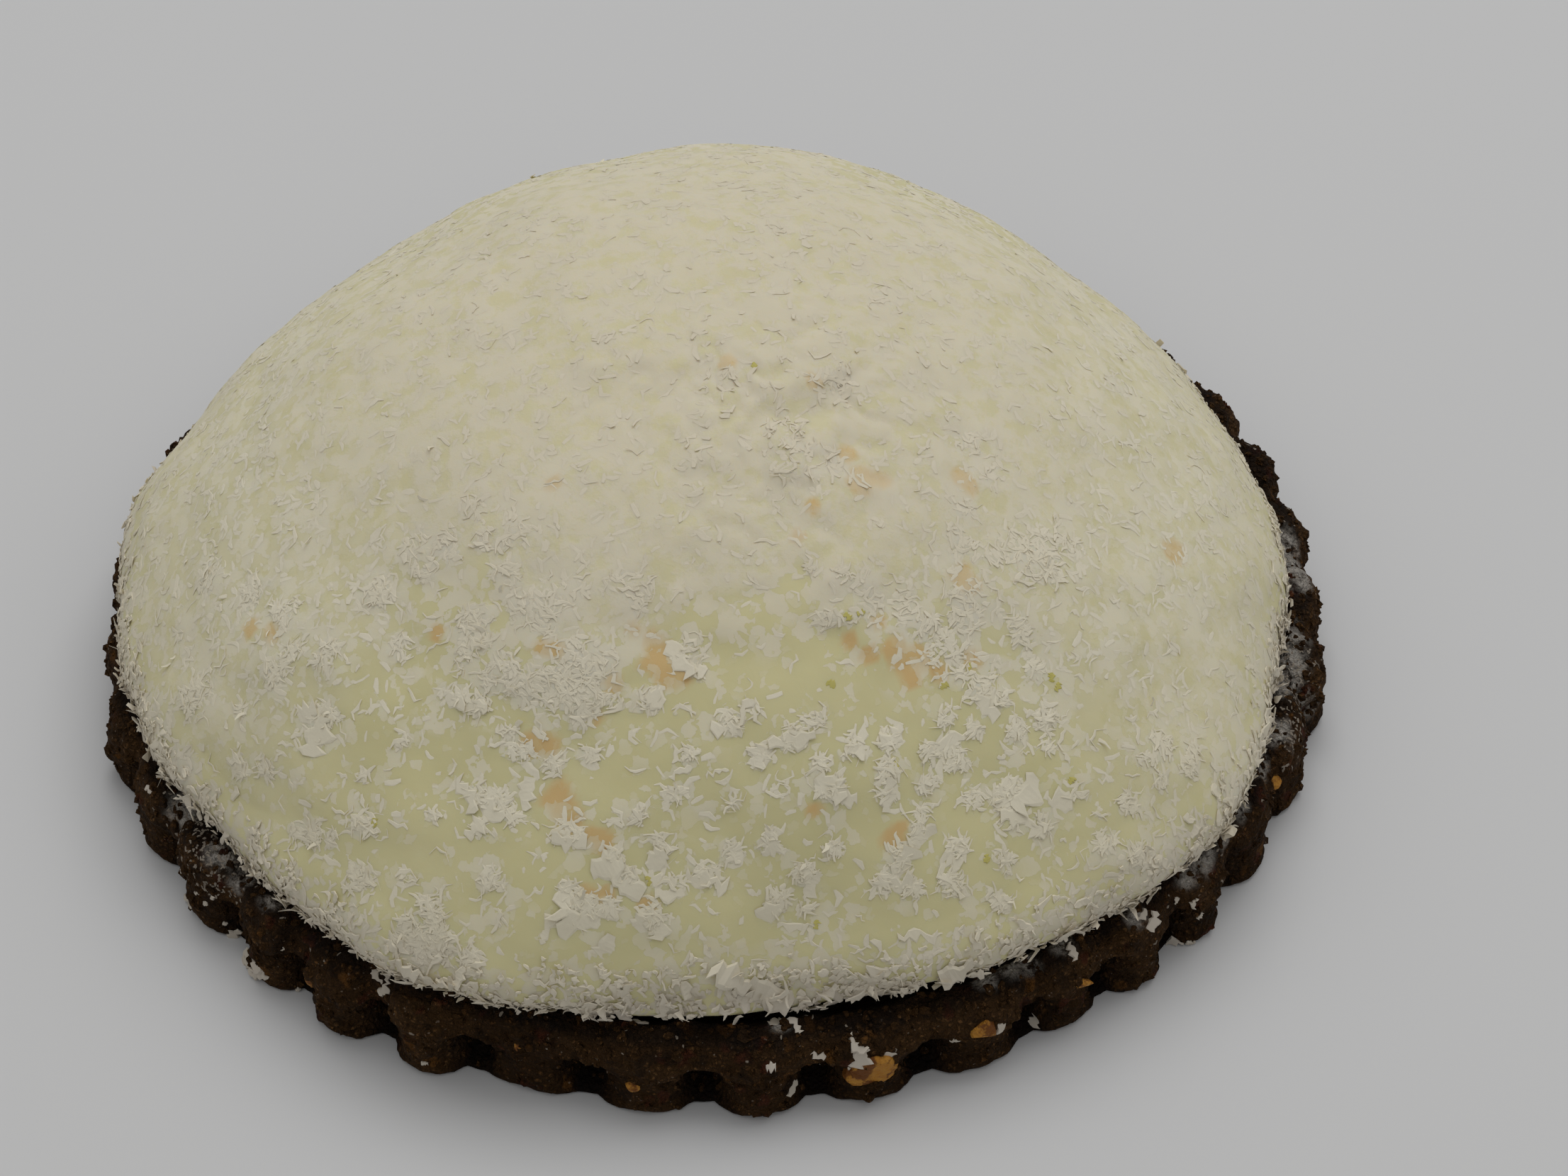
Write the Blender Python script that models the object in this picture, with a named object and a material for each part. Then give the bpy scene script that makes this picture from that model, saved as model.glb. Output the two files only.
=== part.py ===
"""Individual domed cheesecake: a fluted crust of cocoa and chopped nuts, under a mound of set cream
coated in fine coconut.

Lengths are in metres, +Z is up and the front is -Y. The origin is the middle of the crust's flat
underside. Directions are in degrees, anticlockwise from +X as seen from above.
"""

import math
import random
from collections import namedtuple

import bmesh
import bpy
from mathutils import Matrix, Vector, noise
from mathutils.bvhtree import BVHTree

MM = 0.001

# The crust, pressed in a fluted tin of about 100 mm.
CRUST_RADIUS = 49.9 * MM
CRUST_WAVES = ((2, 0.012, 0.0),)
CRUST_HEIGHT = 8.0 * MM
CRUST_LOWER_ROUND = 0.8 * MM
CRUST_WALL_TOP = 3.8 * MM
CREST_INSET = 2.4 * MM
CREST_FLUTES = 0.3
CREST_DIPS = 0.5
RECESS_INSET = 5.6 * MM
RECESS_HEIGHT = 5.5 * MM
CRUMB_SIZE = 2.6 * MM
CRUMB_DEPTH = 0.3 * MM

# The gaps between the lobes of its edge that show from the front, and how far the lobe after each
# stands out, in degrees and millimetres. The lobes behind are spaced evenly, give or take a jitter.
SEEN_VALLEYS = (
    191.4, 201.5, 211.1, 221.6, 230.4, 239.5, 248.4, 259.1, 269.7, 279.8, 289.8, 300.3, 308.7, 316.8,
    325.2, 335.1, 345.2,
)
SEEN_REACH = (
    0.5, 0.2, 0.3, 0.4, 0.6, 0.5, -0.8, -0.2, 0.1, 0.0, -0.1, -0.35, 0.1, 0.4, 0.1, 0.3, 0.6,
)
HIDDEN_FLUTES = 21
HIDDEN_REACH = 0.45
FLUTE_JITTER = 0.07
FLUTE_SEED = 4
FLUTE_STATIONS = (0.10, 0.22, 0.40, 0.60, 0.78, 0.90)
LOBE_SHARE = 0.77
VALLEY_DIP = 0.7 * MM

# How deep the gaps are: at the floor, in the notch above it, and under the nearly even ledge.
FLUTE_DEPTH = 1.8 * MM
FLOOR_FLUTES = 0.7
LOW_FLUTES = 2.0
HIGH_FLUTES = 0.5
NOTCH_FOOT = 0.5 * MM
NOTCH_HEIGHTS = (1.4 * MM, 3.6 * MM)
LEDGE_HEIGHT = 4.8 * MM

# The mound of cream, which stands in the crust's recess.
MOUND_CENTRE = (-0.4 * MM, -0.6 * MM)
MOUND_RADIUS = 48.3 * MM
MOUND_WAVES = ((3, 0.025, 87.0), (4, 0.012, -9.0), (5, 0.009, 245.0))
FOOT_WAVES = 0.3
MOUND_TOP = 38.6 * MM
LIP_HEIGHT = 10.5 * MM
LIP_TUCK = 5.5 * MM
LIP_ROUND = 1.0 * MM
GAP = 0.3 * MM
SLOPE_POWER = 1.1
ROUND_POWER = 2.2
TUCK_POWER = 1.3
MOUND_SIDES = 76
MOUND_RINGS = 18
TUCK_RINGS = 3
LUMP_SIZE = 13.0 * MM
LUMP_DEPTH = 0.7 * MM
SMALL_LUMPS = 0.4
SWELL_CENTRE = 6.5 * MM

# How far the mound's lip stands out beyond its waves, in degrees and millimetres.
LIP_SHAPE = (
    (186.0, 0.0), (204.0, 0.4), (222.0, -0.5), (232.0, 0.1), (241.0, 1.1), (254.0, 0.8),
    (264.0, -0.8), (277.0, -0.8), (287.0, 0.0), (297.0, 1.1), (308.0, 0.4), (324.0, 0.9),
    (340.0, 0.0),
)
LIP_FROM = 8.5 * MM
LIP_TO = 22.0 * MM

# The coat of coconut, which is thick but for a bare patch on the front face.
COAT_DEPTH = 0.8 * MM
BARE_DIRECTION = 267.0
BARE_HALF_WIDTH = 48.0
BARE_BLEND = 0.2
BARE_LOWEST = 15.0 * MM
BARE_HIGHEST = 29.0 * MM
BARE_EDGE = 3.0 * MM

# Shreds of coconut that stand out: how many, and their usual length, width and thickness.
COAT_SHREDS = 44
FRINGE_SHREDS = 28
SHRED_SIZE = (3.2 * MM, 1.4 * MM, 0.5 * MM)
SHRED_SPREAD = 0.25
SHRED_BOW = 0.2
SHRED_TWIST = 0.5
SHRED_STATIONS = 4
COAT_LIFT = (0.0, 0.25)
COAT_JITTER = 0.15
FRINGE_LIFT = (-0.2, 0.4)
FRINGE_JITTER = 0.35
FRINGE_SWING = 0.6
FRINGE_RISE = 0.03
SHRED_CLEARANCE = 0.6 * MM
SHRED_SEED = 11
OUTSIDE = 200.0 * MM

# Shreds on the crust behind: how many, from which direction over what arc, and how high.
SHREDS_BEHIND = 9
BEHIND_FROM = 15.0
BEHIND_ARC = 180.0
BEHIND_HEIGHTS = (4.0, 7.5)

# Direction and height in millimetres of the shreds on the crust's front and of the chopped nuts
# all round, with the size of each nut.
CRUST_SHREDS = (
    (206.6, 6.6), (218.2, 2.6), (225.4, 3.0), (239.8, 7.9), (263.8, 8.0), (277.4, 8.0),
    (275.4, 6.6), (279.7, 6.9), (283.1, 6.9), (286.2, 5.6), (277.3, 4.0), (291.9, 5.6),
    (296.2, 5.5), (299.7, 4.4), (313.4, 7.3), (318.4, 5.5),
)
NUTS = (
    (223.4, 3.0, 1.8), (232.3, 4.2, 1.4), (253.1, 5.2, 1.2), (263.6, 3.4, 1.5), (284.6, 3.8, 3.9),
    (294.9, 4.6, 2.2), (305.1, 4.6, 1.7), (336.0, 4.8, 1.8), (12.0, 4.0, 2.2), (58.0, 5.0, 2.6),
    (101.0, 3.6, 2.0), (137.0, 4.8, 2.8), (171.0, 4.2, 2.0),
)
NUT_SEED = 5

SHARP_FROM = 35.0
COCOA = (0.0130, 0.0075, 0.0038, 1.0)
CREAM = (0.5200, 0.4700, 0.3000, 1.0)

Ring = namedtuple("Ring", "inset height flute reach dip crumb")


def clear_scene():
    for thing in list(bpy.data.objects):
        bpy.data.objects.remove(thing, do_unlink=True)


def plain_material(name, colour, roughness):
    """A Principled material of one colour."""
    material = bpy.data.materials.new(name)
    material.use_nodes = True
    shader = material.node_tree.nodes["Principled BSDF"]
    shader.inputs["Base Color"].default_value = colour
    shader.inputs["Roughness"].default_value = roughness
    shader.inputs["Metallic"].default_value = 0.0
    return material


def waviness(direction, waves):
    """How far an outline stands out from its circle in a direction in radians: 1 plus cosines."""
    return 1.0 + sum(
        size * math.cos(count * (direction - math.radians(toward)))
        for count, size, toward in waves
    )


def ease(low, high, value):
    """0 below low and 1 above high, with a smooth rise between."""
    share = min(max((value - low) / (high - low), 0.0), 1.0)
    return share * share * (3.0 - 2.0 * share)


def closed_turn(name, rings, apex=None):
    """A closed mesh object from rings of points, lowest first: flat ends, or a tip at apex."""
    mesh = bpy.data.meshes.new(name)
    work = bmesh.new()
    loops = [[work.verts.new(point) for point in ring] for ring in rings]
    for low, high in zip(loops, loops[1:]):
        for here in range(len(low)):
            after = (here + 1) % len(low)
            work.faces.new((low[here], low[after], high[after], high[here]))
    work.faces.new(reversed(loops[0]))
    if apex is None:
        work.faces.new(loops[-1])
    else:
        tip = work.verts.new(apex)
        for here in range(len(loops[-1])):
            work.faces.new((loops[-1][here], loops[-1][(here + 1) % len(loops[-1])], tip))
    bmesh.ops.triangulate(work, faces=work.faces[:])
    work.to_mesh(mesh)
    work.free()
    piece = bpy.data.objects.new(name, mesh)
    bpy.context.scene.collection.objects.link(piece)
    return piece


def flute_outline():
    """(direction, low, reach) round the crust's edge. Low is 0 at a lobe's middle and 1 in the flat
    gap beside it, with half an ellipse between, and reach is how far that lobe stands out."""
    draw = random.Random(FLUTE_SEED)
    first, last = SEEN_VALLEYS[0] + 360.0, SEEN_VALLEYS[-1]
    pitch = (first - last) / (HIDDEN_FLUTES + 1)
    hidden = [
        last + pitch * (number + 1.0 + FLUTE_JITTER * draw.uniform(-1.0, 1.0))
        for number in range(HIDDEN_FLUTES)
    ]
    valleys = [math.radians(degrees) for degrees in (*SEEN_VALLEYS, *hidden, first)]
    reaches = [*SEEN_REACH, *(HIDDEN_REACH * draw.uniform(-1.0, 1.0) for _ in hidden)]
    outline = []
    for start, end, reach in zip(valleys, valleys[1:], reaches):
        for share in FLUTE_STATIONS:
            beside = min(abs(2.0 * share - 1.0) / LOBE_SHARE, 1.0)
            low = 1.0 - math.sqrt(1.0 - beside * beside)
            outline.append((start + share * (end - start), low, reach * MM))
    return outline


def crust_section():
    """The crust's section, from the underside's edge, up the notched wall, over the crest and down
    to the recess: each ring's inset and height, and its shares of flutes, reach, dips and crumbs."""
    section = [
        Ring(CRUST_LOWER_ROUND, 0.0, FLOOR_FLUTES, 1.0, 0.0, 0.0),
        Ring(0.0, NOTCH_FOOT, FLOOR_FLUTES, 1.0, 0.0, 0.6),
        Ring(0.0, NOTCH_HEIGHTS[0], LOW_FLUTES, 1.0, 0.0, 0.8),
        Ring(0.0, NOTCH_HEIGHTS[1], LOW_FLUTES, 1.0, 0.0, 0.9),
        Ring(0.0, LEDGE_HEIGHT, HIGH_FLUTES, 1.0, 0.0, 1.0),
    ]
    rise = CRUST_HEIGHT - CRUST_WALL_TOP
    for degrees in (35.0, 65.0, 90.0):
        turn = math.radians(degrees)
        inset = CREST_INSET * (1.0 - math.cos(turn))
        height = CRUST_WALL_TOP + rise * math.sin(turn)
        flutes = HIGH_FLUTES - (HIGH_FLUTES - CREST_FLUTES) * math.sin(turn) ** 3
        section.append(Ring(inset, height, flutes, math.cos(turn), math.sin(turn), 1.0))
    for share in (0.55, 1.0):
        inset = CREST_INSET + share * (RECESS_INSET - CREST_INSET)
        height = CRUST_HEIGHT - ease(0.0, 1.0, share) * (CRUST_HEIGHT - RECESS_HEIGHT)
        left = 1.0 - share
        section.append(Ring(inset, height, CREST_FLUTES * left, 0.0, CREST_DIPS * left, left))
    return section


def make_crust():
    """The fluted shell: the section carried round the lobed outline, with crumbly relief."""
    outline = flute_outline()
    rings = []
    for ring in crust_section():
        points = []
        for direction, low, reach in outline:
            fall = ring.inset + ring.flute * FLUTE_DEPTH * low - ring.reach * reach * (1.0 - low)
            radius = CRUST_RADIUS * waviness(direction, CRUST_WAVES) - fall
            height = ring.height - ring.dip * VALLEY_DIP * low
            point = Vector((radius * math.cos(direction), radius * math.sin(direction), height))
            point += CRUMB_DEPTH * ring.crumb * noise.noise_vector(point / CRUMB_SIZE)
            points.append(point)
        rings.append(points)
    return closed_turn("crust", rings)


def mound_radius(direction, height):
    """The mound's radius: the lesser of a slope that rounds over towards the top and a tuck under
    the lip towards the recess, each run on past the lip, with a rounded corner between them."""
    climb = (height - LIP_HEIGHT) / (MOUND_TOP - LIP_HEIGHT)
    drop = (LIP_HEIGHT - height) / (LIP_HEIGHT - RECESS_HEIGHT - GAP)
    if climb > 0.0:
        slope = MOUND_RADIUS * max(1.0 - climb**SLOPE_POWER, 0.0) ** (1.0 / ROUND_POWER)
        tuck = MOUND_RADIUS + LIP_TUCK * (-drop) ** TUCK_POWER
        wave_share = math.sqrt(max(1.0 - climb, 0.0))
    else:
        slope = MOUND_RADIUS * (1.0 + (-climb) ** SLOPE_POWER / ROUND_POWER)
        tuck = MOUND_RADIUS - LIP_TUCK * drop**TUCK_POWER
        wave_share = 1.0 - (1.0 - FOOT_WAVES) * drop
    radius = 0.5 * (slope + tuck) - math.hypot(0.5 * (slope - tuck), LIP_ROUND)
    waves = 1.0 + wave_share * (waviness(direction, MOUND_WAVES) - 1.0)
    lip = ease(LIP_FROM, LIP_HEIGHT, height) * (1.0 - ease(LIP_HEIGHT, LIP_TO, height))
    return max(radius, 0.0) * waves + lip * lip_reach(math.degrees(direction) % 360.0)


def lip_reach(degrees):
    """How far the lip stands out in a direction: on straight lines between the table's rows."""
    for (low, first), (high, last) in zip(LIP_SHAPE, LIP_SHAPE[1:]):
        if low <= degrees <= high:
            return MM * (first + (last - first) * (degrees - low) / (high - low))
    return 0.0


def bareness(direction, height):
    """1 in the bare patch on the front face, and 0 where the coconut is thick."""
    facing = math.cos(direction - math.radians(BARE_DIRECTION))
    edge = math.cos(math.radians(BARE_HALF_WIDTH))
    sideways = ease(edge, edge + BARE_BLEND, facing)
    above_foot = ease(BARE_LOWEST - BARE_EDGE, BARE_LOWEST + BARE_EDGE, height)
    below_top = 1.0 - ease(BARE_HIGHEST - BARE_EDGE, BARE_HIGHEST + BARE_EDGE, height)
    return sideways * above_foot * below_top


def mound_point(direction, height):
    """A point of the mound's surface, pushed out by the coat's thickness and by soft lumps."""
    radius = mound_radius(direction, height)
    out = Vector((math.cos(direction), math.sin(direction), 0.0))
    point = Vector((*MOUND_CENTRE, height)) + radius * out
    away = (point - Vector((0.0, 0.0, SWELL_CENTRE))).normalized()
    swell = LUMP_DEPTH * noise.noise(point / LUMP_SIZE)
    swell += SMALL_LUMPS * LUMP_DEPTH * noise.noise(point / (SMALL_LUMPS * LUMP_SIZE))
    swell -= COAT_DEPTH * bareness(direction, height)
    return point + ease(RECESS_HEIGHT, LIP_HEIGHT, height) * swell * away


def make_mound():
    """The mound, as rings that are closest where the slope turns."""
    floor = RECESS_HEIGHT + GAP
    heights = [floor + (LIP_HEIGHT - floor) * ring / TUCK_RINGS for ring in range(TUCK_RINGS)]
    for ring in range(MOUND_RINGS):
        climb = math.sin(0.5 * math.pi * ring / MOUND_RINGS) ** (2.0 / SLOPE_POWER)
        heights.append(LIP_HEIGHT + climb * (MOUND_TOP - LIP_HEIGHT))
    directions = [2.0 * math.pi * side / MOUND_SIDES for side in range(MOUND_SIDES)]
    rings = [[mound_point(direction, height) for direction in directions] for height in heights]
    return closed_turn("cream_mound", rings, apex=mound_point(0.0, MOUND_TOP))


def make_shred(draw):
    """A shred of coconut about its own middle: a thin strip along X, narrow at its tips and bowed."""
    length, width, thick = (
        usual * draw.uniform(1.0 - SHRED_SPREAD, 1.0 + SHRED_SPREAD) for usual in SHRED_SIZE
    )
    bow = draw.uniform(-SHRED_BOW, SHRED_BOW) * length
    lean = draw.uniform(-SHRED_TWIST, SHRED_TWIST)
    work = bmesh.new()
    loops = []
    for station in range(SHRED_STATIONS):
        along = -1.0 + 2.0 * station / (SHRED_STATIONS - 1)
        half = 0.5 * width * (1.0 - 0.5 * along * along) * draw.uniform(0.8, 1.1)
        middle = Vector((0.5 * length * along, bow * along * along, 0.5 * bow * along * along))
        across = Vector((0.0, math.cos(lean * along), math.sin(lean * along)))
        up = Vector((0.0, -math.sin(lean * along), math.cos(lean * along)))
        corners = ((-half, -thick), (half, -thick), (half, thick), (-half, thick))
        spots = [middle + side * across + 0.5 * rise * up for side, rise in corners]
        loops.append([work.verts.new(spot) for spot in spots])
    for low, high in zip(loops, loops[1:]):
        for corner in range(4):
            after = (corner + 1) % 4
            work.faces.new((low[corner], low[after], high[after], high[corner]))
    work.faces.new(reversed(loops[0]))
    work.faces.new(loops[-1])
    return work


def make_nut(draw, size):
    """A chopped nut about its own middle: a lumpy, flattened ball with flat facets."""
    work = bmesh.new()
    bmesh.ops.create_icosphere(work, subdivisions=1, radius=0.5 * size)
    squash = Vector((draw.uniform(0.9, 1.3), draw.uniform(0.8, 1.1), draw.uniform(0.6, 0.8)))
    for vertex in work.verts:
        vertex.co = vertex.co * squash * draw.uniform(0.85, 1.15)
    return work


def placed(name, work, matrix):
    """A loose piece from a bmesh, triangulated and moved to its place."""
    bmesh.ops.triangulate(work, faces=work.faces[:])
    bmesh.ops.recalc_face_normals(work, faces=work.faces[:])
    work.transform(matrix)
    mesh = bpy.data.meshes.new(name)
    work.to_mesh(mesh)
    work.free()
    return bpy.data.objects.new(name, mesh)


def tree_of(piece):
    """A search tree of the object's faces."""
    return BVHTree.FromPolygons(
        [vertex.co.copy() for vertex in piece.data.vertices],
        [tuple(face.vertices) for face in piece.data.polygons],
    )


def resting_place(tree, middle, toward, turn, lift):
    """A matrix that lays a piece on the surface met by a ray from outside towards middle: its Z
    along the surface's normal, its X turned away from downhill by turn, and that end lifted."""
    start = middle + toward.normalized() * OUTSIDE
    spot, normal, _, _ = tree.ray_cast(start, middle - start)
    down = Vector((0.0, 0.0, -1.0))
    downhill = (down - down.dot(normal) * normal).normalized()
    basis = Matrix((downhill, normal.cross(downhill), normal)).transposed().to_4x4()
    turned = Matrix.Rotation(turn, 4, "Z") @ Matrix.Rotation(-lift, 4, "Y")
    return Matrix.Translation(spot) @ basis @ turned


def clear_of(pieces, tree):
    """Those of the pieces whose every corner keeps its clearance to the tree's surface. The others
    are removed."""
    kept = []
    for piece in pieces:
        corners = [vertex.co for vertex in piece.data.vertices]
        if all(tree.find_nearest(corner, SHRED_CLEARANCE)[0] is None for corner in corners):
            kept.append(piece)
        else:
            bpy.data.objects.remove(piece, do_unlink=True)
    return kept


def coat_shreds(mound_tree, crust_tree, draw):
    """Shreds spread evenly over the mound by the golden angle, and a fringe that hangs from the lip."""
    pieces = []
    middle = Vector((*MOUND_CENTRE, LIP_HEIGHT))
    golden = math.pi * (3.0 - math.sqrt(5.0))
    for number in range(COAT_SHREDS):
        rise = (number + 0.5) / COAT_SHREDS
        direction = golden * number + draw.uniform(-COAT_JITTER, COAT_JITTER)
        flat = math.sqrt(1.0 - rise * rise)
        toward = Vector((flat * math.cos(direction), flat * math.sin(direction), rise))
        turn = draw.uniform(0.0, 2.0 * math.pi)
        matrix = resting_place(mound_tree, middle, toward, turn, draw.uniform(*COAT_LIFT))
        pieces.append(placed("shred", make_shred(draw), matrix))
    for number in range(FRINGE_SHREDS):
        along = number + draw.uniform(-FRINGE_JITTER, FRINGE_JITTER)
        direction = 2.0 * math.pi * along / FRINGE_SHREDS
        toward = Vector((math.cos(direction), math.sin(direction), FRINGE_RISE))
        turn = draw.uniform(-FRINGE_SWING, FRINGE_SWING)
        matrix = resting_place(mound_tree, middle, toward, turn, draw.uniform(*FRINGE_LIFT))
        pieces.append(placed("fringe", make_shred(draw), matrix))
    return clear_of(pieces, crust_tree)


def crust_bits(crust_tree, mound_tree, draw):
    """Shreds lying on the crust's rim, and chopped nuts that break through its wall."""
    pieces = []
    behind = [
        (BEHIND_FROM + BEHIND_ARC * (number + 0.5) / SHREDS_BEHIND, draw.uniform(*BEHIND_HEIGHTS))
        for number in range(SHREDS_BEHIND)
    ]
    for degrees, height in CRUST_SHREDS + tuple(behind):
        matrix = onto_crust(crust_tree, degrees, height, draw)
        pieces.append(placed("shred", make_shred(draw), matrix))
    draw = random.Random(NUT_SEED)
    for degrees, height, size in NUTS:
        matrix = onto_crust(crust_tree, degrees, height, draw)
        pieces.append(placed("nut", make_nut(draw, size * MM), matrix))
    return clear_of(pieces, mound_tree)


def onto_crust(crust_tree, degrees, height, draw):
    """A resting place on the crust's rounded edge, at a direction and a height in millimetres."""
    direction = math.radians(degrees)
    out = Vector((math.cos(direction), math.sin(direction), 0.0))
    steep = math.radians(90.0) * ease(CRUST_WALL_TOP, CRUST_HEIGHT, height * MM)
    inset = CREST_INSET * (1.0 - math.cos(steep))
    middle = (CRUST_RADIUS * waviness(direction, CRUST_WAVES) - CREST_INSET - inset) * out
    middle.z = min(height * MM, CRUST_WALL_TOP)
    toward = math.cos(steep) * out + Vector((0.0, 0.0, math.sin(steep)))
    return resting_place(crust_tree, middle, toward, draw.uniform(0.0, 2.0 * math.pi), 0.0)


def keep_largest_shell(mesh):
    """Drops the loose scraps and the sealed hollows that joining can leave."""
    work = bmesh.new()
    work.from_mesh(mesh)
    unseen = set(work.verts)
    shells = []
    while unseen:
        shell = {unseen.pop()}
        edge = list(shell)
        while edge:
            near = {link.other_vert(vertex) for vertex in edge for link in vertex.link_edges}
            edge = list(near & unseen)
            unseen.difference_update(edge)
            shell.update(edge)
        shells.append(shell)
    largest = max(shells, key=len)
    bmesh.ops.delete(work, geom=[v for v in work.verts if v not in largest], context="VERTS")
    bmesh.ops.triangulate(work, faces=work.faces[:])
    work.to_mesh(mesh)
    work.free()


def fuse(body, pieces):
    """Joins the loose pieces to the body as one solid, then removes them."""
    group = bpy.data.collections.new(body.name + "_bits")
    bpy.context.scene.collection.children.link(group)
    for piece in pieces:
        group.objects.link(piece)
    union = body.modifiers.new("Union", "BOOLEAN")
    union.operation = "UNION"
    union.operand_type = "COLLECTION"
    union.collection = group
    union.solver = "EXACT"
    bpy.context.view_layer.update()
    graph = bpy.context.evaluated_depsgraph_get()
    joined = bpy.data.meshes.new_from_object(body.evaluated_get(graph))
    body.modifiers.remove(union)
    keep_largest_shell(joined)
    body.data = joined
    for piece in pieces:
        bpy.data.objects.remove(piece, do_unlink=True)
    bpy.data.collections.remove(group)


def finish(body, material):
    """Smooth shading with crisp shreds, and the piece's one material."""
    body.data.shade_smooth()
    body.data.set_sharp_from_angle(angle=math.radians(SHARP_FROM))
    body.data.materials.clear()
    body.data.materials.append(material)


def main():
    clear_scene()
    crust = make_crust()
    mound = make_mound()
    crust_tree = tree_of(crust)
    mound_tree = tree_of(mound)
    draw = random.Random(SHRED_SEED)
    fuse(mound, coat_shreds(mound_tree, crust_tree, draw))
    fuse(crust, crust_bits(crust_tree, tree_of(mound), draw))
    finish(crust, plain_material("baked cocoa crust", COCOA, 0.85))
    finish(mound, plain_material("cream and coconut", CREAM, 0.75))


main()
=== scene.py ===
"""Looks of an individual domed cheesecake: a fluted crust of dark cocoa and chopped nuts, and a
mound of set cream under a loose coat of fine coconut.

Lengths are in millimetres until a mesh is made, +Z is up and the front is -Y. Directions go
anticlockwise from +X as seen from above.
"""

import math
import random
from collections import namedtuple

import bpy
import numpy as np
from mathutils import Matrix


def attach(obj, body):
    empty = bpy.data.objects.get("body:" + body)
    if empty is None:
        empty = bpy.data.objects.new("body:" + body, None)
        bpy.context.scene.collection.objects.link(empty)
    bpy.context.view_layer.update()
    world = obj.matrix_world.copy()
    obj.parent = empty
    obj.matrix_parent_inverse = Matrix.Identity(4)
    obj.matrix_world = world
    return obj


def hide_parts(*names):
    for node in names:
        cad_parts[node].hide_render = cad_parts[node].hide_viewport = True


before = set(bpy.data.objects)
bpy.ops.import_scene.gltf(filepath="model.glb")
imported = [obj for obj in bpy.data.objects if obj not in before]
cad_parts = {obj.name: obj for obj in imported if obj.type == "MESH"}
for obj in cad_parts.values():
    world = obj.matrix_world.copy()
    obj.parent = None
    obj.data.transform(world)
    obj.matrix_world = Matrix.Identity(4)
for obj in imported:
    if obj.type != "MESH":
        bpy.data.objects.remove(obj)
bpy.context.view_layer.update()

MM = 0.001

# The photograph's frame in pixels, and the camera that fits the cake's outline in it.
PHOTO_WIDTH = 2212.0
PHOTO_HEIGHT = 1659.0
FOCAL_PIXELS = 5000.0
SENSOR = 36.0
CAMERA_ELEVATION = 45.47
CAMERA_ROLL = -0.19
CAMERA_DISTANCE = 299.6
CAMERA_SIDEWAYS = 5.85
CAMERA_UPWARDS = 4.70

# The crust.
CRUST_RADIUS = 49.9
CRUST_WAVES = ((2, 0.012, 0.0),)
CRUST_HEIGHT = 8.0
CRUST_LOWER_ROUND = 0.8
CRUST_WALL_TOP = 3.8
CREST_INSET = 2.4
CREST_FLUTES = 0.3
CREST_SQUARENESS = 0.85
CREST_DIPS = 0.5
# Painted shade on the crest under the mound's lip: the insets over which it comes in.
SHADED_INSET = (0.4, 1.5)
RECESS_INSET = 5.6
RECESS_HEIGHT = 5.5
FLUTE_COLUMNS = 24
FLUTE_DEPTH = 1.8
FLOOR_FLUTES = 0.7
LOW_FLUTES = 2.0
HIGH_FLUTES = 0.5
NOTCH_FOOT = (0.2, 1.4)
NOTCH_TOP = (3.6, 4.8)
LOBE_SHARE = 0.77
VALLEY_DIP = 0.7
# Where the valleys that show lie, how far the lobe after each stands out, and the hidden rest.
SEEN_VALLEYS = (
    191.4, 201.5, 211.1, 221.6, 230.4, 239.5, 248.4, 259.1, 269.7, 279.8, 289.8, 300.3, 308.7, 316.8,
    325.2, 335.1, 345.2,
)
SEEN_REACH = (
    0.5, 0.2, 0.3, 0.4, 0.6, 0.5, -0.8, -0.2, 0.1, 0.0, -0.1, -0.35, 0.1, 0.4, 0.1, 0.3, 0.6,
)
HIDDEN_FLUTES = 21
HIDDEN_REACH = 0.45
FLUTE_JITTER = 0.07
FLUTE_SEED = 4
FOOT_CRUMBS = 0.6
CRUMB_RELIEF = ((3.2, 0.62, 20), (1.5, 0.50, 21), (0.8, 0.30, 22))
CRUMB_MEAN = 0.3
# How much painted shade falls on the crest under the lip, against the full painted shade in the notches.
SHADE = 0.8
FOOT_ROWS = 5
WALL_ROWS = 9
CREST_ROWS = 20
FALL_ROWS = 12
OUTER_ROWS = 35

# The mound of cream.
MOUND_CENTRE = (-0.4, -0.6)
MOUND_RADIUS = 48.3
MOUND_WAVES = ((3, 0.025, 87.0), (4, 0.012, -9.0), (5, 0.009, 245.0))
FOOT_WAVES = 0.3
# How far the lip stands out beyond its waves, in millimetres, by direction.
LIP_SHAPE = (
    (186.0, 0.0), (204.0, 0.4), (222.0, -0.5), (232.0, 0.1), (241.0, 1.1), (254.0, 0.8),
    (264.0, -0.8), (277.0, -0.8), (287.0, 0.0), (297.0, 1.1), (308.0, 0.4), (324.0, 0.9),
    (334.0, 0.2), (342.0, -1.1), (350.0, -1.1), (357.0, 0.0),
)
LIP_FROM = 8.5
LIP_TO = 22.0
MOUND_TOP = 38.6
LIP_HEIGHT = 10.5
LIP_TUCK = 5.5
LIP_ROUND = 1.0
GAP = 0.3
SLOPE_POWER = 1.1
ROUND_POWER = 2.2
TUCK_POWER = 1.3
MOUND_SIDES = 500
MOUND_RINGS = 150
TUCK_RINGS = 16
SWELL_CENTRE = 6.5

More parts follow.
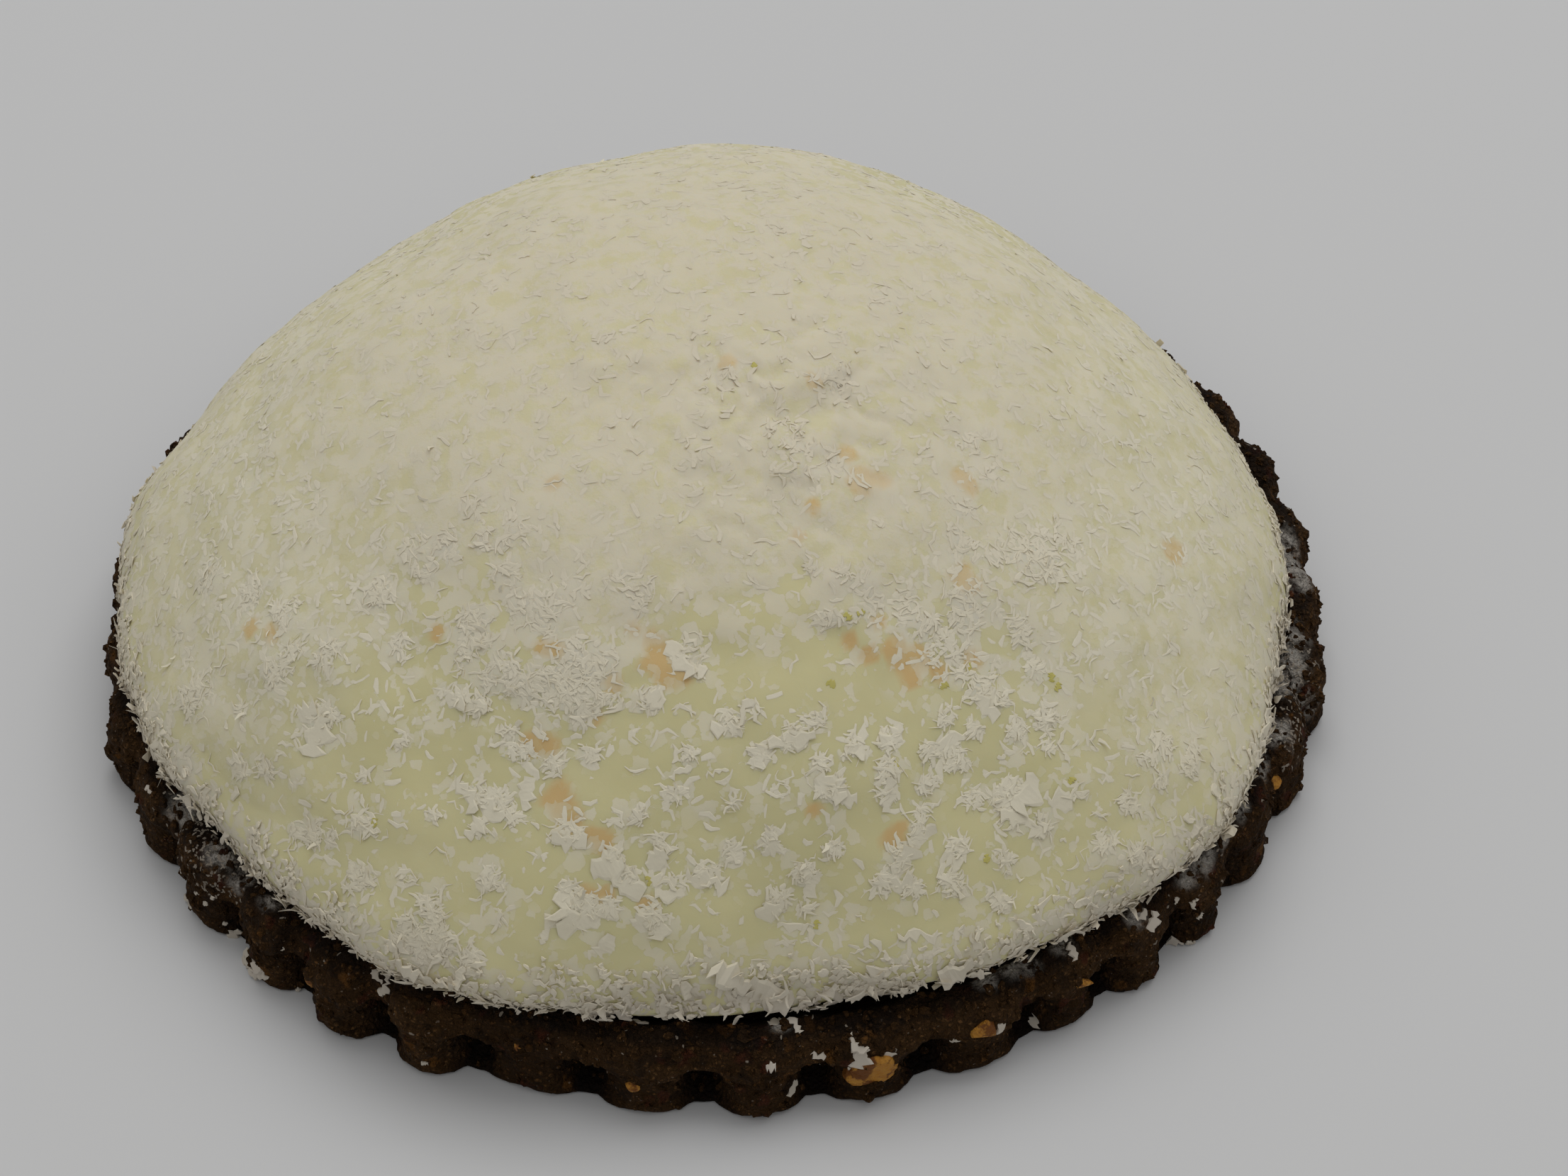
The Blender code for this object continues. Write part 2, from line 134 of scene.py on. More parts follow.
# The thick coat of coconut: where its lower edge runs over the front face, as directions and
# heights, and where the band along the foot begins.
COAT_EDGE = (
    (212.0, 14.0), (222.0, 22.0), (233.0, 27.6), (243.0, 27.0), (251.0, 26.4), (258.0, 27.4),
    (264.0, 29.4), (272.0, 31.6), (285.0, 31.2), (291.0, 29.2), (298.0, 27.2), (306.0, 24.0),
    (316.0, 20.0), (326.0, 14.0),
)
COAT_MIDDLE = 272.0
COAT_MIDDLE_COSINES = (0.80, 0.95)
EDGE_SOFTNESS = (8.0, 2.2)
CROWN_HEIGHTS = (26.0, 36.0)
BAND_TOP = 14.0
BAND_SOFTNESS = (-3.5, 3.0)
UPPER_COAT = 0.85
MIDDLE_COAT = 0.56
BARE_COAT = 0.16
FOOT_COAT = 0.42
SIDE_FOOT_COAT = 0.72
COAT_DEPTH = 0.9
TUFT_DEPTH = 0.16
MEAN_COVER = 0.6

# The pattern of the cover: from which to which of its values it rises, between which shares of
# the coat, the share where it is even, and how far calm evens it out. A seen tuft adds to it.
PATTERN_FROM = (-0.45, 0.55)
PATTERN_COVER = (0.45, 1.05)
EVEN_COVER = 0.70
CALMING = 0.7
SEEN_COVER = 0.50

# The coat is calmer high up and on the mound's sides, where it is calmest on the right.
CALM_HEIGHTS = (24.0, 33.0)
FLANK_COSINES = (0.60, 0.88)
FLANK_HEIGHTS = (12.0, 16.0)
LEFT_FLANK = 0.7
HIGH_SMOOTHNESS = 0.65
FLANK_CALM = 0.6
FRONT_CALM = 0.15
HIGH_CALM = 0.85

# Crevices round a place near the top, and the softer lumps beside them.
CLEFT_MIDDLE = (5.5, -10.0, 37.0)
CLEFT_REACH = 9.0
CLEFT_DEPTH = 0.45
CLEFT_NARROWNESS = 3.0

# Noises: the size of the hills, their height and the seed of each.
EDGE_WANDER = ((9.0, 3.0, 31), (3.4, 2.4, 32))
BAND_WANDER = ((9.0, 1.5, 33),)
SWELLS = ((13.0, 0.7, 41), (5.2, 0.28, 42))
CLEFTS = ((6.0, 1.0, 43), (2.6, 0.5, 47), (1.4, 0.25, 48))
CLEFT_LUMPS = ((4.0, 0.35, 49),)
COAT_LUMPS = ((2.4, 0.16, 44), (1.3, 0.08, 45))
SMALL_SWELLS = ((2.4, 0.06, 46),)
SPOT_EDGES = ((1.5, 0.5, 51),)
TUFT_EDGES = ((2.0, 0.9, 65), (0.9, 0.8, 66))
COVER_PATTERN = ((4.6, 1.0, 61), (2.2, 0.7, 62), (1.1, 0.45, 64))
LIP_CLUMPS = ((3.0, 1.0, 63),)

# How far out, in shares of its radius, a spot begins to fade and has faded.
STAIN_FADE = (0.55, 1.05)
DUST_FADE = (0.30, 1.30)
TUFT_FADE = (0.65, 1.10)

# A shred's section: its top's width for its width below, and how much thinner its ends are.
TOP_SHARE = 0.7
THIN_ENDS = 0.6

# Stains of the cream and where they show in the photograph: across, down, radius in millimetres.
STAINS = (
    (925, 905, 1.3), (930, 930, 1.6), (945, 955, 1.7), (965, 955, 0.9), (757, 1045, 1.2),
    (780, 1052, 1.2), (785, 1120, 1.4), (795, 1140, 1.2), (812, 1160, 1.2), (830, 1180, 1.0),
    (848, 1190, 1.2), (830, 1260, 1.1), (850, 1260, 1.0), (912, 1275, 0.8), (1215, 675, 1.5),
    (1235, 680, 1.2), (1195, 640, 0.9), (1145, 715, 0.8), (1125, 760, 0.7), (1355, 675, 1.2),
    (1370, 690, 0.9), (1355, 810, 1.2), (1372, 822, 1.0), (1200, 900, 0.9), (1225, 925, 0.9),
    (1237, 878, 0.8), (1260, 915, 1.2), (1270, 940, 1.2), (1285, 955, 0.9), (1302, 930, 1.2),
    (1322, 945, 1.1), (1370, 935, 1.0), (1655, 775, 1.3), (1155, 1145, 0.8), (1265, 1185, 1.2),
    (1273, 1170, 0.8), (355, 885, 1.0), (378, 890, 1.2), (1030, 515, 0.9), (1150, 540, 0.8),
    (780, 680, 0.8), (615, 890, 0.8), (768, 915, 0.9), (790, 915, 0.9), (865, 965, 0.8),
    (840, 1015, 0.7), (895, 885, 0.8),
)

# Tufts of coconut, as seen in the photograph: across, down, radius in millimetres.
TUFTS = (
    (1015, 535, 1.4), (1170, 540, 1.4), (1100, 610, 1.4), (1375, 635, 1.4), (1135, 655, 1.65),
    (1180, 655, 1.2), (1395, 670, 1.4), (685, 700, 1.55), (1365, 720, 1.05), (710, 740, 1.65),
    (630, 760, 1.2), (1505, 765, 1.2), (1380, 770, 2.35), (590, 775, 1.4), (1425, 780, 2.0),
    (1475, 785, 1.75), (635, 795, 0.95), (600, 810, 0.95), (1145, 810, 1.3), (1485, 810, 1.2),
    (285, 815, 1.05), (715, 815, 1.2), (1180, 820, 1.2), (885, 830, 1.55), (530, 830, 1.05),
    (345, 835, 1.2), (955, 840, 1.05), (1275, 845, 1.65), (1365, 845, 1.4), (1230, 850, 1.9),
    (395, 860, 1.4), (770, 865, 2.5), (1370, 870, 1.2), (1175, 880, 1.05), (1300, 880, 1.4),
    (665, 885, 1.65), (1440, 900, 1.05), (1355, 915, 1.9), (550, 915, 0.95), (400, 925, 1.2),
    (455, 925, 0.95), (650, 925, 0.95), (960, 925, 1.2), (825, 930, 1.75), (970, 940, 0.95),
    (380, 945, 0.95), (690, 955, 1.2), (1470, 955, 0.85), (730, 970, 1.55), (795, 975, 2.5),
    (270, 980, 1.3), (640, 985, 1.05), (1400, 985, 1.4), (825, 990, 1.75), (910, 990, 1.05),
    (670, 1000, 0.75), (330, 1010, 0.75), (950, 1010, 0.55), (1050, 1015, 0.75), (1340, 1020, 0.75),
    (445, 1025, 1.3), (1025, 1025, 0.8), (1145, 1025, 0.65), (1480, 1025, 0.75), (1440, 1035, 0.8),
    (1375, 1035, 0.65), (715, 1040, 0.55), (1120, 1040, 0.9), (550, 1050, 0.5), (1260, 1050, 0.75),
    (1210, 1055, 0.8), (1485, 1060, 0.55), (1650, 1065, 1.0), (1070, 1070, 0.8), (1315, 1070, 0.65),
    (735, 1075, 1.05), (1360, 1075, 0.8), (1630, 1075, 1.0), (1685, 1075, 0.8), (325, 1080, 0.9),
    (820, 1080, 0.65), (965, 1080, 0.55), (370, 1085, 0.75), (1160, 1085, 0.55), (770, 1090, 0.65),
    (510, 1095, 0.75), (1250, 1100, 0.65), (1640, 1105, 0.75), (1310, 1110, 0.65), (1170, 1115, 0.8),
    (660, 1120, 0.8), (1445, 1120, 1.0), (1255, 1125, 0.55), (945, 1130, 0.55), (1515, 1130, 0.8),
    (1420, 1135, 0.8), (685, 1140, 0.75), (1385, 1140, 0.75), (1595, 1140, 1.0), (1035, 1145, 0.5),
    (1555, 1150, 0.75), (605, 1155, 0.55), (900, 1155, 0.55), (1430, 1160, 0.9), (720, 1165, 0.55),
    (500, 1165, 0.75), (665, 1170, 0.65), (1475, 1170, 0.65), (420, 1175, 1.3), (1300, 1180, 0.9),
    (460, 1185, 0.75), (800, 1190, 0.8), (1080, 1195, 0.75), (1560, 1195, 0.8), (1350, 1205, 0.8),
    (1170, 1210, 0.65), (925, 1210, 0.9), (1035, 1215, 0.75), (1275, 1220, 0.9), (1600, 1220, 1.0),
    (860, 1225, 1.05), (1425, 1225, 0.65), (560, 1240, 0.75), (880, 1240, 0.75), (995, 1240, 0.9),
    (1140, 1240, 0.75), (500, 1245, 1.25), (1250, 1250, 1.0), (930, 1250, 1.0), (680, 1255, 0.8),
    (795, 1255, 0.75), (1345, 1255, 0.65), (1285, 1260, 0.75), (1100, 1280, 1.0), (845, 1285, 0.65),
    (1415, 1285, 0.8), (600, 1290, 1.0), (810, 1295, 1.15), (1140, 1300, 0.65), (690, 1305, 0.75),
    (915, 1305, 1.05), (560, 1318, 1.2), (590, 1335, 1.6), (622, 1348, 1.5), (652, 1362, 1.2),
)

# Specks of zest in the photograph: across and down.
ZEST = (
    (1175, 960), (1260, 1078), (1487, 958), (530, 1160), (1150, 1305), (1330, 965), (920, 1240),
    (1390, 1210), (1495, 968), (1368, 945), (1195, 870), (1215, 862), (1510, 1105), (1062, 515),
)

# Larger flakes of the coat and of its edge: across, down, length, width, all in the photograph's
# pixels, and their heading in degrees from the right.
LARGE_FLAKES = (
    (430, 1005, 42, 30, 20), (450, 1040, 55, 36, 80), (795, 1270, 60, 24, 80),
    (815, 1298, 60, 30, 10), (790, 1300, 50, 20, 20), (850, 1288, 34, 16, 20),
    (860, 1225, 46, 28, 20), (885, 1250, 44, 24, -30), (930, 1240, 30, 20, -40),
    (945, 1258, 40, 18, 0), (925, 1212, 32, 26, 30), (1000, 1242, 56, 20, -15),
    (1035, 1222, 44, 18, 55), (1088, 1285, 40, 26, 40), (1110, 1302, 60, 12, -5),
    (1138, 1318, 44, 12, -65), (1270, 1225, 60, 26, 70), (1255, 1252, 56, 26, -5),
    (1300, 1182, 44, 20, 15), (1340, 1212, 30, 22, -30), (1445, 1120, 50, 32, 40),
    (1430, 1150, 44, 26, 0), (1460, 1165, 40, 18, -40), (1500, 1130, 34, 22, 0),
    (1300, 1320, 50, 14, 10), (1120, 1042, 60, 22, 10), (1050, 1012, 44, 14, 60),
    (1025, 1030, 40, 14, -10), (1072, 1068, 30, 26, 70), (1258, 1048, 40, 22, 40),
    (1350, 1040, 50, 22, 20), (1215, 1045, 60, 12, 85), (1330, 1060, 70, 20, -75),
    (925, 990, 26, 20, -30), (630, 990, 60, 16, -10), (670, 1000, 40, 14, 0),
    (735, 1080, 60, 26, -50), (745, 1120, 44, 20, 80), (715, 1040, 26, 14, 10),
    (830, 1078, 40, 14, -35), (800, 1192, 48, 22, -5), (660, 1120, 50, 20, -50),
    (690, 1140, 50, 20, -40), (670, 1165, 36, 18, 45), (960, 925, 60, 22, -60),
    (975, 945, 34, 16, -30), (905, 1310, 44, 30, 40), (935, 1310, 36, 26, 80),
    (860, 1340, 40, 26, 60), (1090, 1198, 30, 18, 20), (1140, 1245, 34, 18, 60),
    (1015, 1085, 30, 8, 15), (960, 1085, 30, 10, 25), (945, 1128, 34, 14, 75),
    (1170, 1115, 44, 24, -50), (1195, 1130, 30, 16, 0), (1260, 1120, 44, 14, 85),
    (1395, 1000, 44, 20, -40), (1375, 1340, 44, 12, -40), (1345, 1240, 60, 12, -60),
)

# Flakes that hang from the lip, in the same way.
HANGING_FLAKES = (
    (1035, 1378, 60, 34, -35), (1082, 1402, 66, 36, -30), (1155, 1415, 46, 17, 75),
    (1262, 1416, 52, 8, -12), (1352, 1368, 50, 36, 20), (1375, 1382, 34, 22, -30),
    (1508, 1330, 46, 22, -70), (598, 1378, 46, 26, 0), (628, 1388, 40, 20, 15),
    (575, 1366, 36, 22, -30), (645, 1376, 30, 15, 60),
)

# Flakes that lie on the crust, in the same way.
CRUST_FLAKES = (
    (900, 1442, 35, 9, 0), (1095, 1438, 20, 16, 40), (1120, 1444, 24, 11, -60), (1085, 1503, 14, 13, 0),
    (1152, 1487, 26, 10, -30), (1158, 1495, 22, 9, 70), (1205, 1472, 30, 16, -40), (1218, 1490, 34, 22, 80),
    (1210, 1506, 26, 12, 10), (1253, 1490, 24, 17, 15), (1118, 1535, 26, 13, 65), (1350, 1468, 15, 11, 0),
    (1413, 1447, 20, 17, -40), (1463, 1440, 24, 19, 60), (1505, 1320, 30, 20, 0), (1512, 1342, 26, 12, -70),
    (1622, 1280, 34, 14, -70), (1628, 1300, 30, 12, 80), (1612, 1290, 20, 10, 30), (1660, 1268, 12, 8, 60),
    (1684, 1272, 16, 8, 75), (1690, 1292, 12, 7, 60), (1656, 1332, 24, 12, 15), (1680, 1330, 14, 8, 0),
    (326, 1335, 26, 16, 60), (322, 1350, 24, 14, 10), (332, 1354, 24, 14, -40), (326, 1364, 18, 12, 80),
    (345, 1348, 18, 12, 20), (362, 1362, 24, 16, 40), (370, 1374, 22, 14, -30), (352, 1374, 18, 12, 0),
    (256, 1272, 14, 8, -40), (266, 1280, 10, 7, 0), (278, 1262, 8, 6, 30), (290, 1276, 8, 7, 0),
    (299, 1270, 9, 6, 60), (246, 1234, 8, 6, 0), (318, 1305, 8, 6, 0), (395, 1340, 8, 6, 20),
    (540, 1365, 26, 16, 30), (532, 1378, 26, 14, -50), (548, 1388, 26, 16, 80), (556, 1372, 22, 12, 0),
    (545, 1398, 18, 12, 20), (212, 1115, 18, 10, -30), (418, 1412, 8, 6, 0), (600, 1500, 9, 7, 0),
)

# How many pixels of the photograph show a millimetre.
PIXELS_TO_MM = 17.6

# Chopped nuts in the crust: direction, height and size.
NUTS = (
    (223.4, 3.0, 1.8), (232.3, 4.2, 1.4), (253.1, 5.2, 0.9), (263.6, 3.4, 1.0), (284.6, 3.8, 3.9),
    (294.9, 4.6, 2.2), (305.1, 4.6, 1.7), (336.0, 4.8, 1.0), (12.0, 4.0, 2.2), (58.0, 5.0, 2.6),
    (101.0, 3.6, 2.0), (137.0, 4.8, 2.8), (171.0, 4.2, 2.0),
)

# Pale coconut dust that the crust's paint shows, in the photograph: across, down, radius in
# millimetres.
DUSTED = (
    (1808, 765, 1.8), (1822, 800, 1.8), (1836, 820, 1.4), (1828, 850, 1.7), (1820, 890, 1.8),
    (1815, 930, 1.9), (1812, 970, 1.7), (1836, 985, 1.1), (1848, 1003, 1.2), (1800, 1035, 1.5),
    (1772, 1085, 1.4), (1747, 1140, 1.2), (1725, 1180, 1.2), (1696, 1212, 1.4), (1682, 1235, 1.1),
    (1600, 1290, 1.0), (1500, 1335, 1.1), (1450, 1355, 1.2), (1420, 1365, 1.3), (1390, 1378, 1.1),
    (1100, 1440, 0.9), (700, 1405, 1.0), (740, 1418, 0.9), (262, 1145, 1.6), (288, 1178, 1.6),
    (310, 1205, 1.4), (345, 1240, 1.1), (380, 1275, 0.9),
)

# Where shreds of coconut dust lie on the crust, in the photograph.
DUSTY = ((1815, 930), (1825, 985), (1810, 1030), (265, 1150), (300, 1180), (290, 1240), (1700, 1250))

# The forms of the shreds, and of the lumps below them: how their sizes spread, how they bend, rise
# and turn, and how ragged they are, as shares of a length or in millimetres and radians.
FINE = {
    "stations": 3, "spread": (0.45, 0.35, 0.3), "bend": 0.14, "curl": 0.01,
    "rise": (-0.01, 0.01), "tilt": 0.01, "twist": 0.02, "ragged": 0.25, "taper": 0.45,
    "kink": 0.05, "stray": 0.0,
}
FLAKE = {
    "stations": 5, "spread": (0.55, 0.45, 0.3), "bend": 0.20, "curl": 0.02,
    "rise": (-0.01, 0.04), "tilt": 0.02, "twist": 0.04, "ragged": 0.45, "taper": 0.55,
    "kink": 0.08, "stray": 0.03,
}
RIM = {
    "stations": 5, "spread": (0.45, 0.40, 0.3), "bend": 0.15, "curl": 0.05,
    "rise": (-0.03, 0.15), "tilt": 0.12, "twist": 0.14, "ragged": 0.6, "taper": 0.45,
    "kink": 0.08, "stray": 0.08,
}
FRINGE = dict(RIM, rise=(0.0, 0.55), tilt=0.35, twist=0.30, stray=0.2)
PLACED = {
    "stations": 8, "spread": (0.08, 0.10, 0.3), "bend": 0.08, "curl": 0.01,
    "rise": (0.0, 0.03), "tilt": 0.02, "twist": 0.04, "ragged": 0.60, "taper": 0.35,
    "kink": 0.07, "stray": 0.0,
}
HANGING = dict(PLACED, rise=(0.10, 0.35), tilt=0.12, twist=0.15)
CRUMB = {
    "rings": 3, "corners": 6, "planes": 9, "least": 0.6, "power": 6.0, "stretch": 0.3, "sunk": 0.3,
}
NUT = {
    "rings": 11, "corners": 18, "planes": 10, "least": 0.6, "power": 14.0, "stretch": 0.25,
    "sunk": 0.4,
}

# The loose coconut: how much, how long, wide and thick, and the seeds of its places.
FINE_COUNT = 4050
FINE_SIZE = (1.0, 0.40, 0.02)
FINE_SEEDS = (71, 72)
FLAKE_COUNT = 5050
FLAKE_SIZE = (1.2, 0.27, 0.025)
LARGE_THICKNESS = 0.05
HANGING_THICKNESS = 0.16
ON_CRUST_THICKNESS = 0.22
ON_CRUST_LEAN = 0.5
ZEST_SIZE = (0.7, 0.45, 0.06)

# Where it falls: how much on bare cream, on the coat and on a seen tuft, from which height up, and
# what is left of it on the crown.
FINE_ON_BARE = 0.012
FINE_POWER = 1.7
FLAKE_WEIGHTS = (0.006, 0.06, 0.8)
LOOSE_FROM = (LIP_HEIGHT - 2.0, LIP_HEIGHT)
THINNED_HEIGHTS = (22.0, 32.0)
FINE_ON_CROWN = 0.25
FLAKES_ON_CROWN = 0.15

# Along the lip it falls in clumps.
CLUMP_LEAST = 0.28
CLUMP_FROM = (-0.1, 0.5)
LIP_THICKNESS = 0.10
LIP_WIDTH = 0.22

# The band of shreds along the lip and the fringe below it: between which heights they begin and
# end, how much they droop, their lengths and how often each comes, and the width that length adds.
RIM_BAND = {
    "form": RIM, "count": 3400, "foot": (LIP_HEIGHT - 2.2, LIP_HEIGHT - 1.2), "top": (10.5, 14.0),
    "droop": 0.25, "lengths": (0.6, 1.0, 1.8), "shares": (0.58, 0.34, 0.08), "widening": 0.22,
}
FRINGE_BAND = {
    "form": FRINGE, "count": 1300, "foot": (LIP_HEIGHT - 2.4, LIP_HEIGHT - 1.4), "top": (9.6, 10.6),
    "droop": 0.5, "lengths": (0.7, 1.1, 1.9), "shares": (0.5, 0.38, 0.12), "widening": 0.20,
}

# What lies in and on the crust.
CRUMB_COUNT = 3200
CRUMB_HEIGHTS = (0.2, 1.0)
CRUMB_RANGE = (0.35, 0.95)
DUST_COUNT = 600
DUST_SIZE = (0.34, 0.20, 0.06)
DUST_REACH = 1.5
DUST_ELSEWHERE = 0.02
DUST_HEIGHTS = (3.0, 6.0)

# Colours, in linear light; of a pair, noise runs from the first to the second. The coconut's tone
# goes by height, as a share of TONE_HEIGHT; its grey, darker first stop at the foot is painted shade
# under the lip.
COCONUT_STOPS = (
    (0.20, (0.590, 0.530, 0.450)), (0.36, (0.790, 0.728, 0.560)),
    (0.60, (0.835, 0.775, 0.610)), (0.92, (0.755, 0.685, 0.535)),
)
TONE_HEIGHT = 40.0
COCONUT_SHADE = (0.55, 0.48, 0.30)
CREAM_TONES = ((0.665, 0.612, 0.318), (0.735, 0.676, 0.388))
PEACH = (0.720, 0.510, 0.235)
BROWN_DUST_TONES = ((0.090, 0.070, 0.052), (0.340, 0.295, 0.240))
PALE_DUST_TONES = ((0.240, 0.205, 0.170), (0.760, 0.720, 0.650))
ZEST_TONES = ((0.520, 0.470, 0.110), (0.640, 0.570, 0.210))
PASTE_TONES = ((0.0380, 0.0184, 0.0062), (0.0640, 0.0315, 0.0108))
# Painted highlights on the crust's grains.
GRAIN_HIGHLIGHT_TONES = ((0.1850, 0.0850, 0.0270), (0.3100, 0.1620, 0.0620))
REDDISH = (0.0900, 0.0230, 0.0120)
ORANGE_BROWN = (0.1900, 0.0800, 0.0180)
PALE_GLINT = (0.2600, 0.2000, 0.1500)
# Painted shade in the crust's pits.
PIT_SHADE_BLACK = (0.0100, 0.0065, 0.0045)
# Painted shade, near black, in the crust's notches and under the mound's lip.
PAINTED_SHADE_BLACK = (0.0040, 0.0035, 0.0035)
NUT_TONES = ((0.360, 0.125, 0.011), (0.540, 0.285, 0.052))
NUT_SKIN = (0.110, 0.030, 0.007)

# The room.
FLOOR_HALF = 1500.0
FLOOR_COLOUR = (0.655, 0.655, 0.655, 1.0)
LAMP_SIZE = (0.9, 0.7)
LAMP_POWER = 3.5
LAMP_PLACE = (0.12, 0.35, 0.95)
SKY_RISE = (-0.05, 0.85)
SKY_LIGHT = (0.085, 0.53)

Surface = namedtuple("Surface", "points normals direction height")


def ease(low, high, value):
    """0 below low and 1 above high, with a smooth rise between."""
    share = np.clip((value - low) / (high - low), 0.0, 1.0)
    return share * share * (3.0 - 2.0 * share)


def mixed(low, high, share):
    """The value share of the way from low to high."""
    return low + (high - low) * share


def drawn(cells, seed):
    """Random numbers from -1 to 1 for whole-numbered cells, three to each, the same each time."""
    state = cells.astype(np.uint32)
    state = state[..., 0] * np.uint32(73856093) ^ state[..., 1] * np.uint32(19349663)
    state = state ^ cells[..., 2].astype(np.uint32) * np.uint32(83492791) ^ np.uint32(seed * 2654435)
    parts = []
    for salt in (2246822519, 3266489917, 668265263):
        mixed_up = (state ^ (state >> np.uint32(15))) * np.uint32(salt)
        mixed_up = (mixed_up ^ (mixed_up >> np.uint32(13))) * np.uint32(1274126177)
        mixed_up = mixed_up ^ (mixed_up >> np.uint32(16))
        parts.append((mixed_up & np.uint32(65535)).astype(np.float64) / 32767.5 - 1.0)
    return np.stack(parts, axis=-1)


def hills(points, size, seed):
    """Smooth noise of about -1 to 1: each corner of a grid of cells has a random slope, and the
    slopes' planes are blended between the eight corners round a point."""
    spot = points / size
    cell = np.floor(spot)
    inside = spot - cell
    blend = inside**3 * (inside * (inside * 6.0 - 15.0) + 10.0)
    total = np.zeros(points.shape[:-1])
    for corner in np.ndindex(2, 2, 2):
        corner = np.array(corner, float)
        slope = drawn((cell + corner).astype(np.int64), seed)
        share = np.prod(np.where(corner > 0.5, blend, 1.0 - blend), axis=-1)
        total += share * np.sum(slope * (inside - corner), axis=-1)
    return 1.3 * total


def layered(points, layers):
    """A sum of noises, each of its own size, height and seed."""
    return sum(height * hills(points, size, seed) for size, height, seed in layers)


def waviness(direction, waves):
    """How far an outline stands out from its circle in a direction in radians: 1 plus cosines."""
    return 1.0 + sum(
        size * np.cos(count * (direction - math.radians(toward))) for count, size, toward in waves
    )


def slopes_of(points):
    """Normals of rings of points: the cross product of the steps along the rings and across them."""
    along = np.roll(points, -1, axis=1) - np.roll(points, 1, axis=1)
    normals = np.cross(along, np.gradient(points, axis=0))
    return normals / np.maximum(np.linalg.norm(normals, axis=-1, keepdims=True), 1e-9)


# The crust's surface.


def flute_outline():
    """For each column round the crust: its direction, how low it lies between two lobes (0 on a
    lobe's middle, 1 in the flat gap beside it, with half an ellipse between), and its lobe's reach."""
    draw = random.Random(FLUTE_SEED)
    pitch = (SEEN_VALLEYS[0] + 360.0 - SEEN_VALLEYS[-1]) / (HIDDEN_FLUTES + 1)
    hidden = [
        SEEN_VALLEYS[-1] + pitch * (number + 1.0 + FLUTE_JITTER * draw.uniform(-1.0, 1.0))
        for number in range(HIDDEN_FLUTES)
    ]
    valleys = np.radians([*SEEN_VALLEYS, *hidden, SEEN_VALLEYS[0] + 360.0])
    reach = [*SEEN_REACH, *(HIDDEN_REACH * draw.uniform(-1.0, 1.0) for _ in hidden)]
    share = np.arange(FLUTE_COLUMNS) / FLUTE_COLUMNS
    direction = (valleys[:-1, None] + share * (valleys[1:] - valleys[:-1])[:, None]).ravel()
    beside = np.minimum(np.abs(2.0 * share - 1.0) / LOBE_SHARE, 1.0)
    low = np.tile(1.0 - np.sqrt(1.0 - beside**2), len(reach))
    return direction, low, np.repeat(reach, FLUTE_COLUMNS)


def flutes_at(height):
    """How deep the valleys are at a height: deepest in a notch under the ledge."""
    notch = mixed(FLOOR_FLUTES, LOW_FLUTES, ease(*NOTCH_FOOT, height))
    return mixed(notch, HIGH_FLUTES, ease(*NOTCH_TOP, height))


def crust_section():
    """The crust's section from its foot over the crest to the recess, one row to a ring: inset,
    height, and the shares of flutes, reach, dips and crumbs at that ring. The foot is a quarter of
    a circle, the wall is straight, and the crest turns as powers of a sine and a cosine."""
    rows = []
    turn = np.linspace(0.0, 0.5 * math.pi, FOOT_ROWS)
    inset = CRUST_LOWER_ROUND * (1.0 - np.sin(turn))
    height = CRUST_LOWER_ROUND * (1.0 - np.cos(turn))
    crumbs = FOOT_CRUMBS * np.sin(turn)
    shares = [flutes_at(height), 1.0 + 0.0 * turn, 0.0 * turn, crumbs]
    rows.append(np.stack([inset, height, *shares], axis=1))
    rise = np.linspace(0.0, 1.0, WALL_ROWS)[1:-1]
    height = mixed(CRUST_LOWER_ROUND, CRUST_WALL_TOP, rise)
    shares = [flutes_at(height), 1.0 + 0.0 * rise, 0.0 * rise, mixed(FOOT_CRUMBS, 1.0, rise)]
    rows.append(np.stack([0.0 * rise, height, *shares], axis=1))
    turn = np.linspace(0.0, 0.5 * math.pi, CREST_ROWS)
    inset = CREST_INSET * (1.0 - np.cos(turn) ** CREST_SQUARENESS)
    height = CRUST_WALL_TOP + (CRUST_HEIGHT - CRUST_WALL_TOP) * np.sin(turn) ** CREST_SQUARENESS
    flutes = mixed(flutes_at(height), CREST_FLUTES, np.sin(turn) ** 3)
    shares = [flutes, np.cos(turn), np.sin(turn), 1.0 + 0.0 * turn]
    rows.append(np.stack([inset, height, *shares], axis=1))
    share = np.linspace(0.0, 1.0, FALL_ROWS)[1:]
    inset = mixed(CREST_INSET, RECESS_INSET, share)
    height = CRUST_HEIGHT - ease(0.0, 1.0, share) * (CRUST_HEIGHT - RECESS_HEIGHT)
    left = 1.0 - share
    shares = [CREST_FLUTES * left, 0.0 * left, CREST_DIPS * left, left]
    rows.append(np.stack([inset, height, *shares], axis=1))
    return np.concatenate(rows)


def crust_surface():
    """The section carried round the lobed outline, then pushed along its normals by crumbs. Also how
    much painted shade each point gets: 1 in the notches between lobes, and less under the mound's lip."""
    direction, low, reach = flute_outline()
    inset, height, flutes, out, dips, crumbs = (column[:, None] for column in crust_section().T)
    fall = inset + flutes * FLUTE_DEPTH * low - out * reach * (1.0 - low)
    radius = CRUST_RADIUS * waviness(direction, CRUST_WAVES) - fall
    level = height - dips * VALLEY_DIP * low
    points = np.stack([radius * np.cos(direction), radius * np.sin(direction), level], axis=-1)
    relief = sum(
        depth * (np.abs(hills(points, size, seed)) - CRUMB_MEAN)
        for size, depth, seed in CRUMB_RELIEF
    )
    points = points + (crumbs * relief)[..., None] * slopes_of(points)
    # Painted shade: full in the notches between lobes below the ledge, and SHADE of it on the crest under
    # the lip.
    gap_shade = np.maximum(low * (1.0 - ease(*NOTCH_TOP, level)), SHADE * ease(*SHADED_INSET, inset))
    return Surface(points, slopes_of(points), direction, level), gap_shade


# The mound's surface.


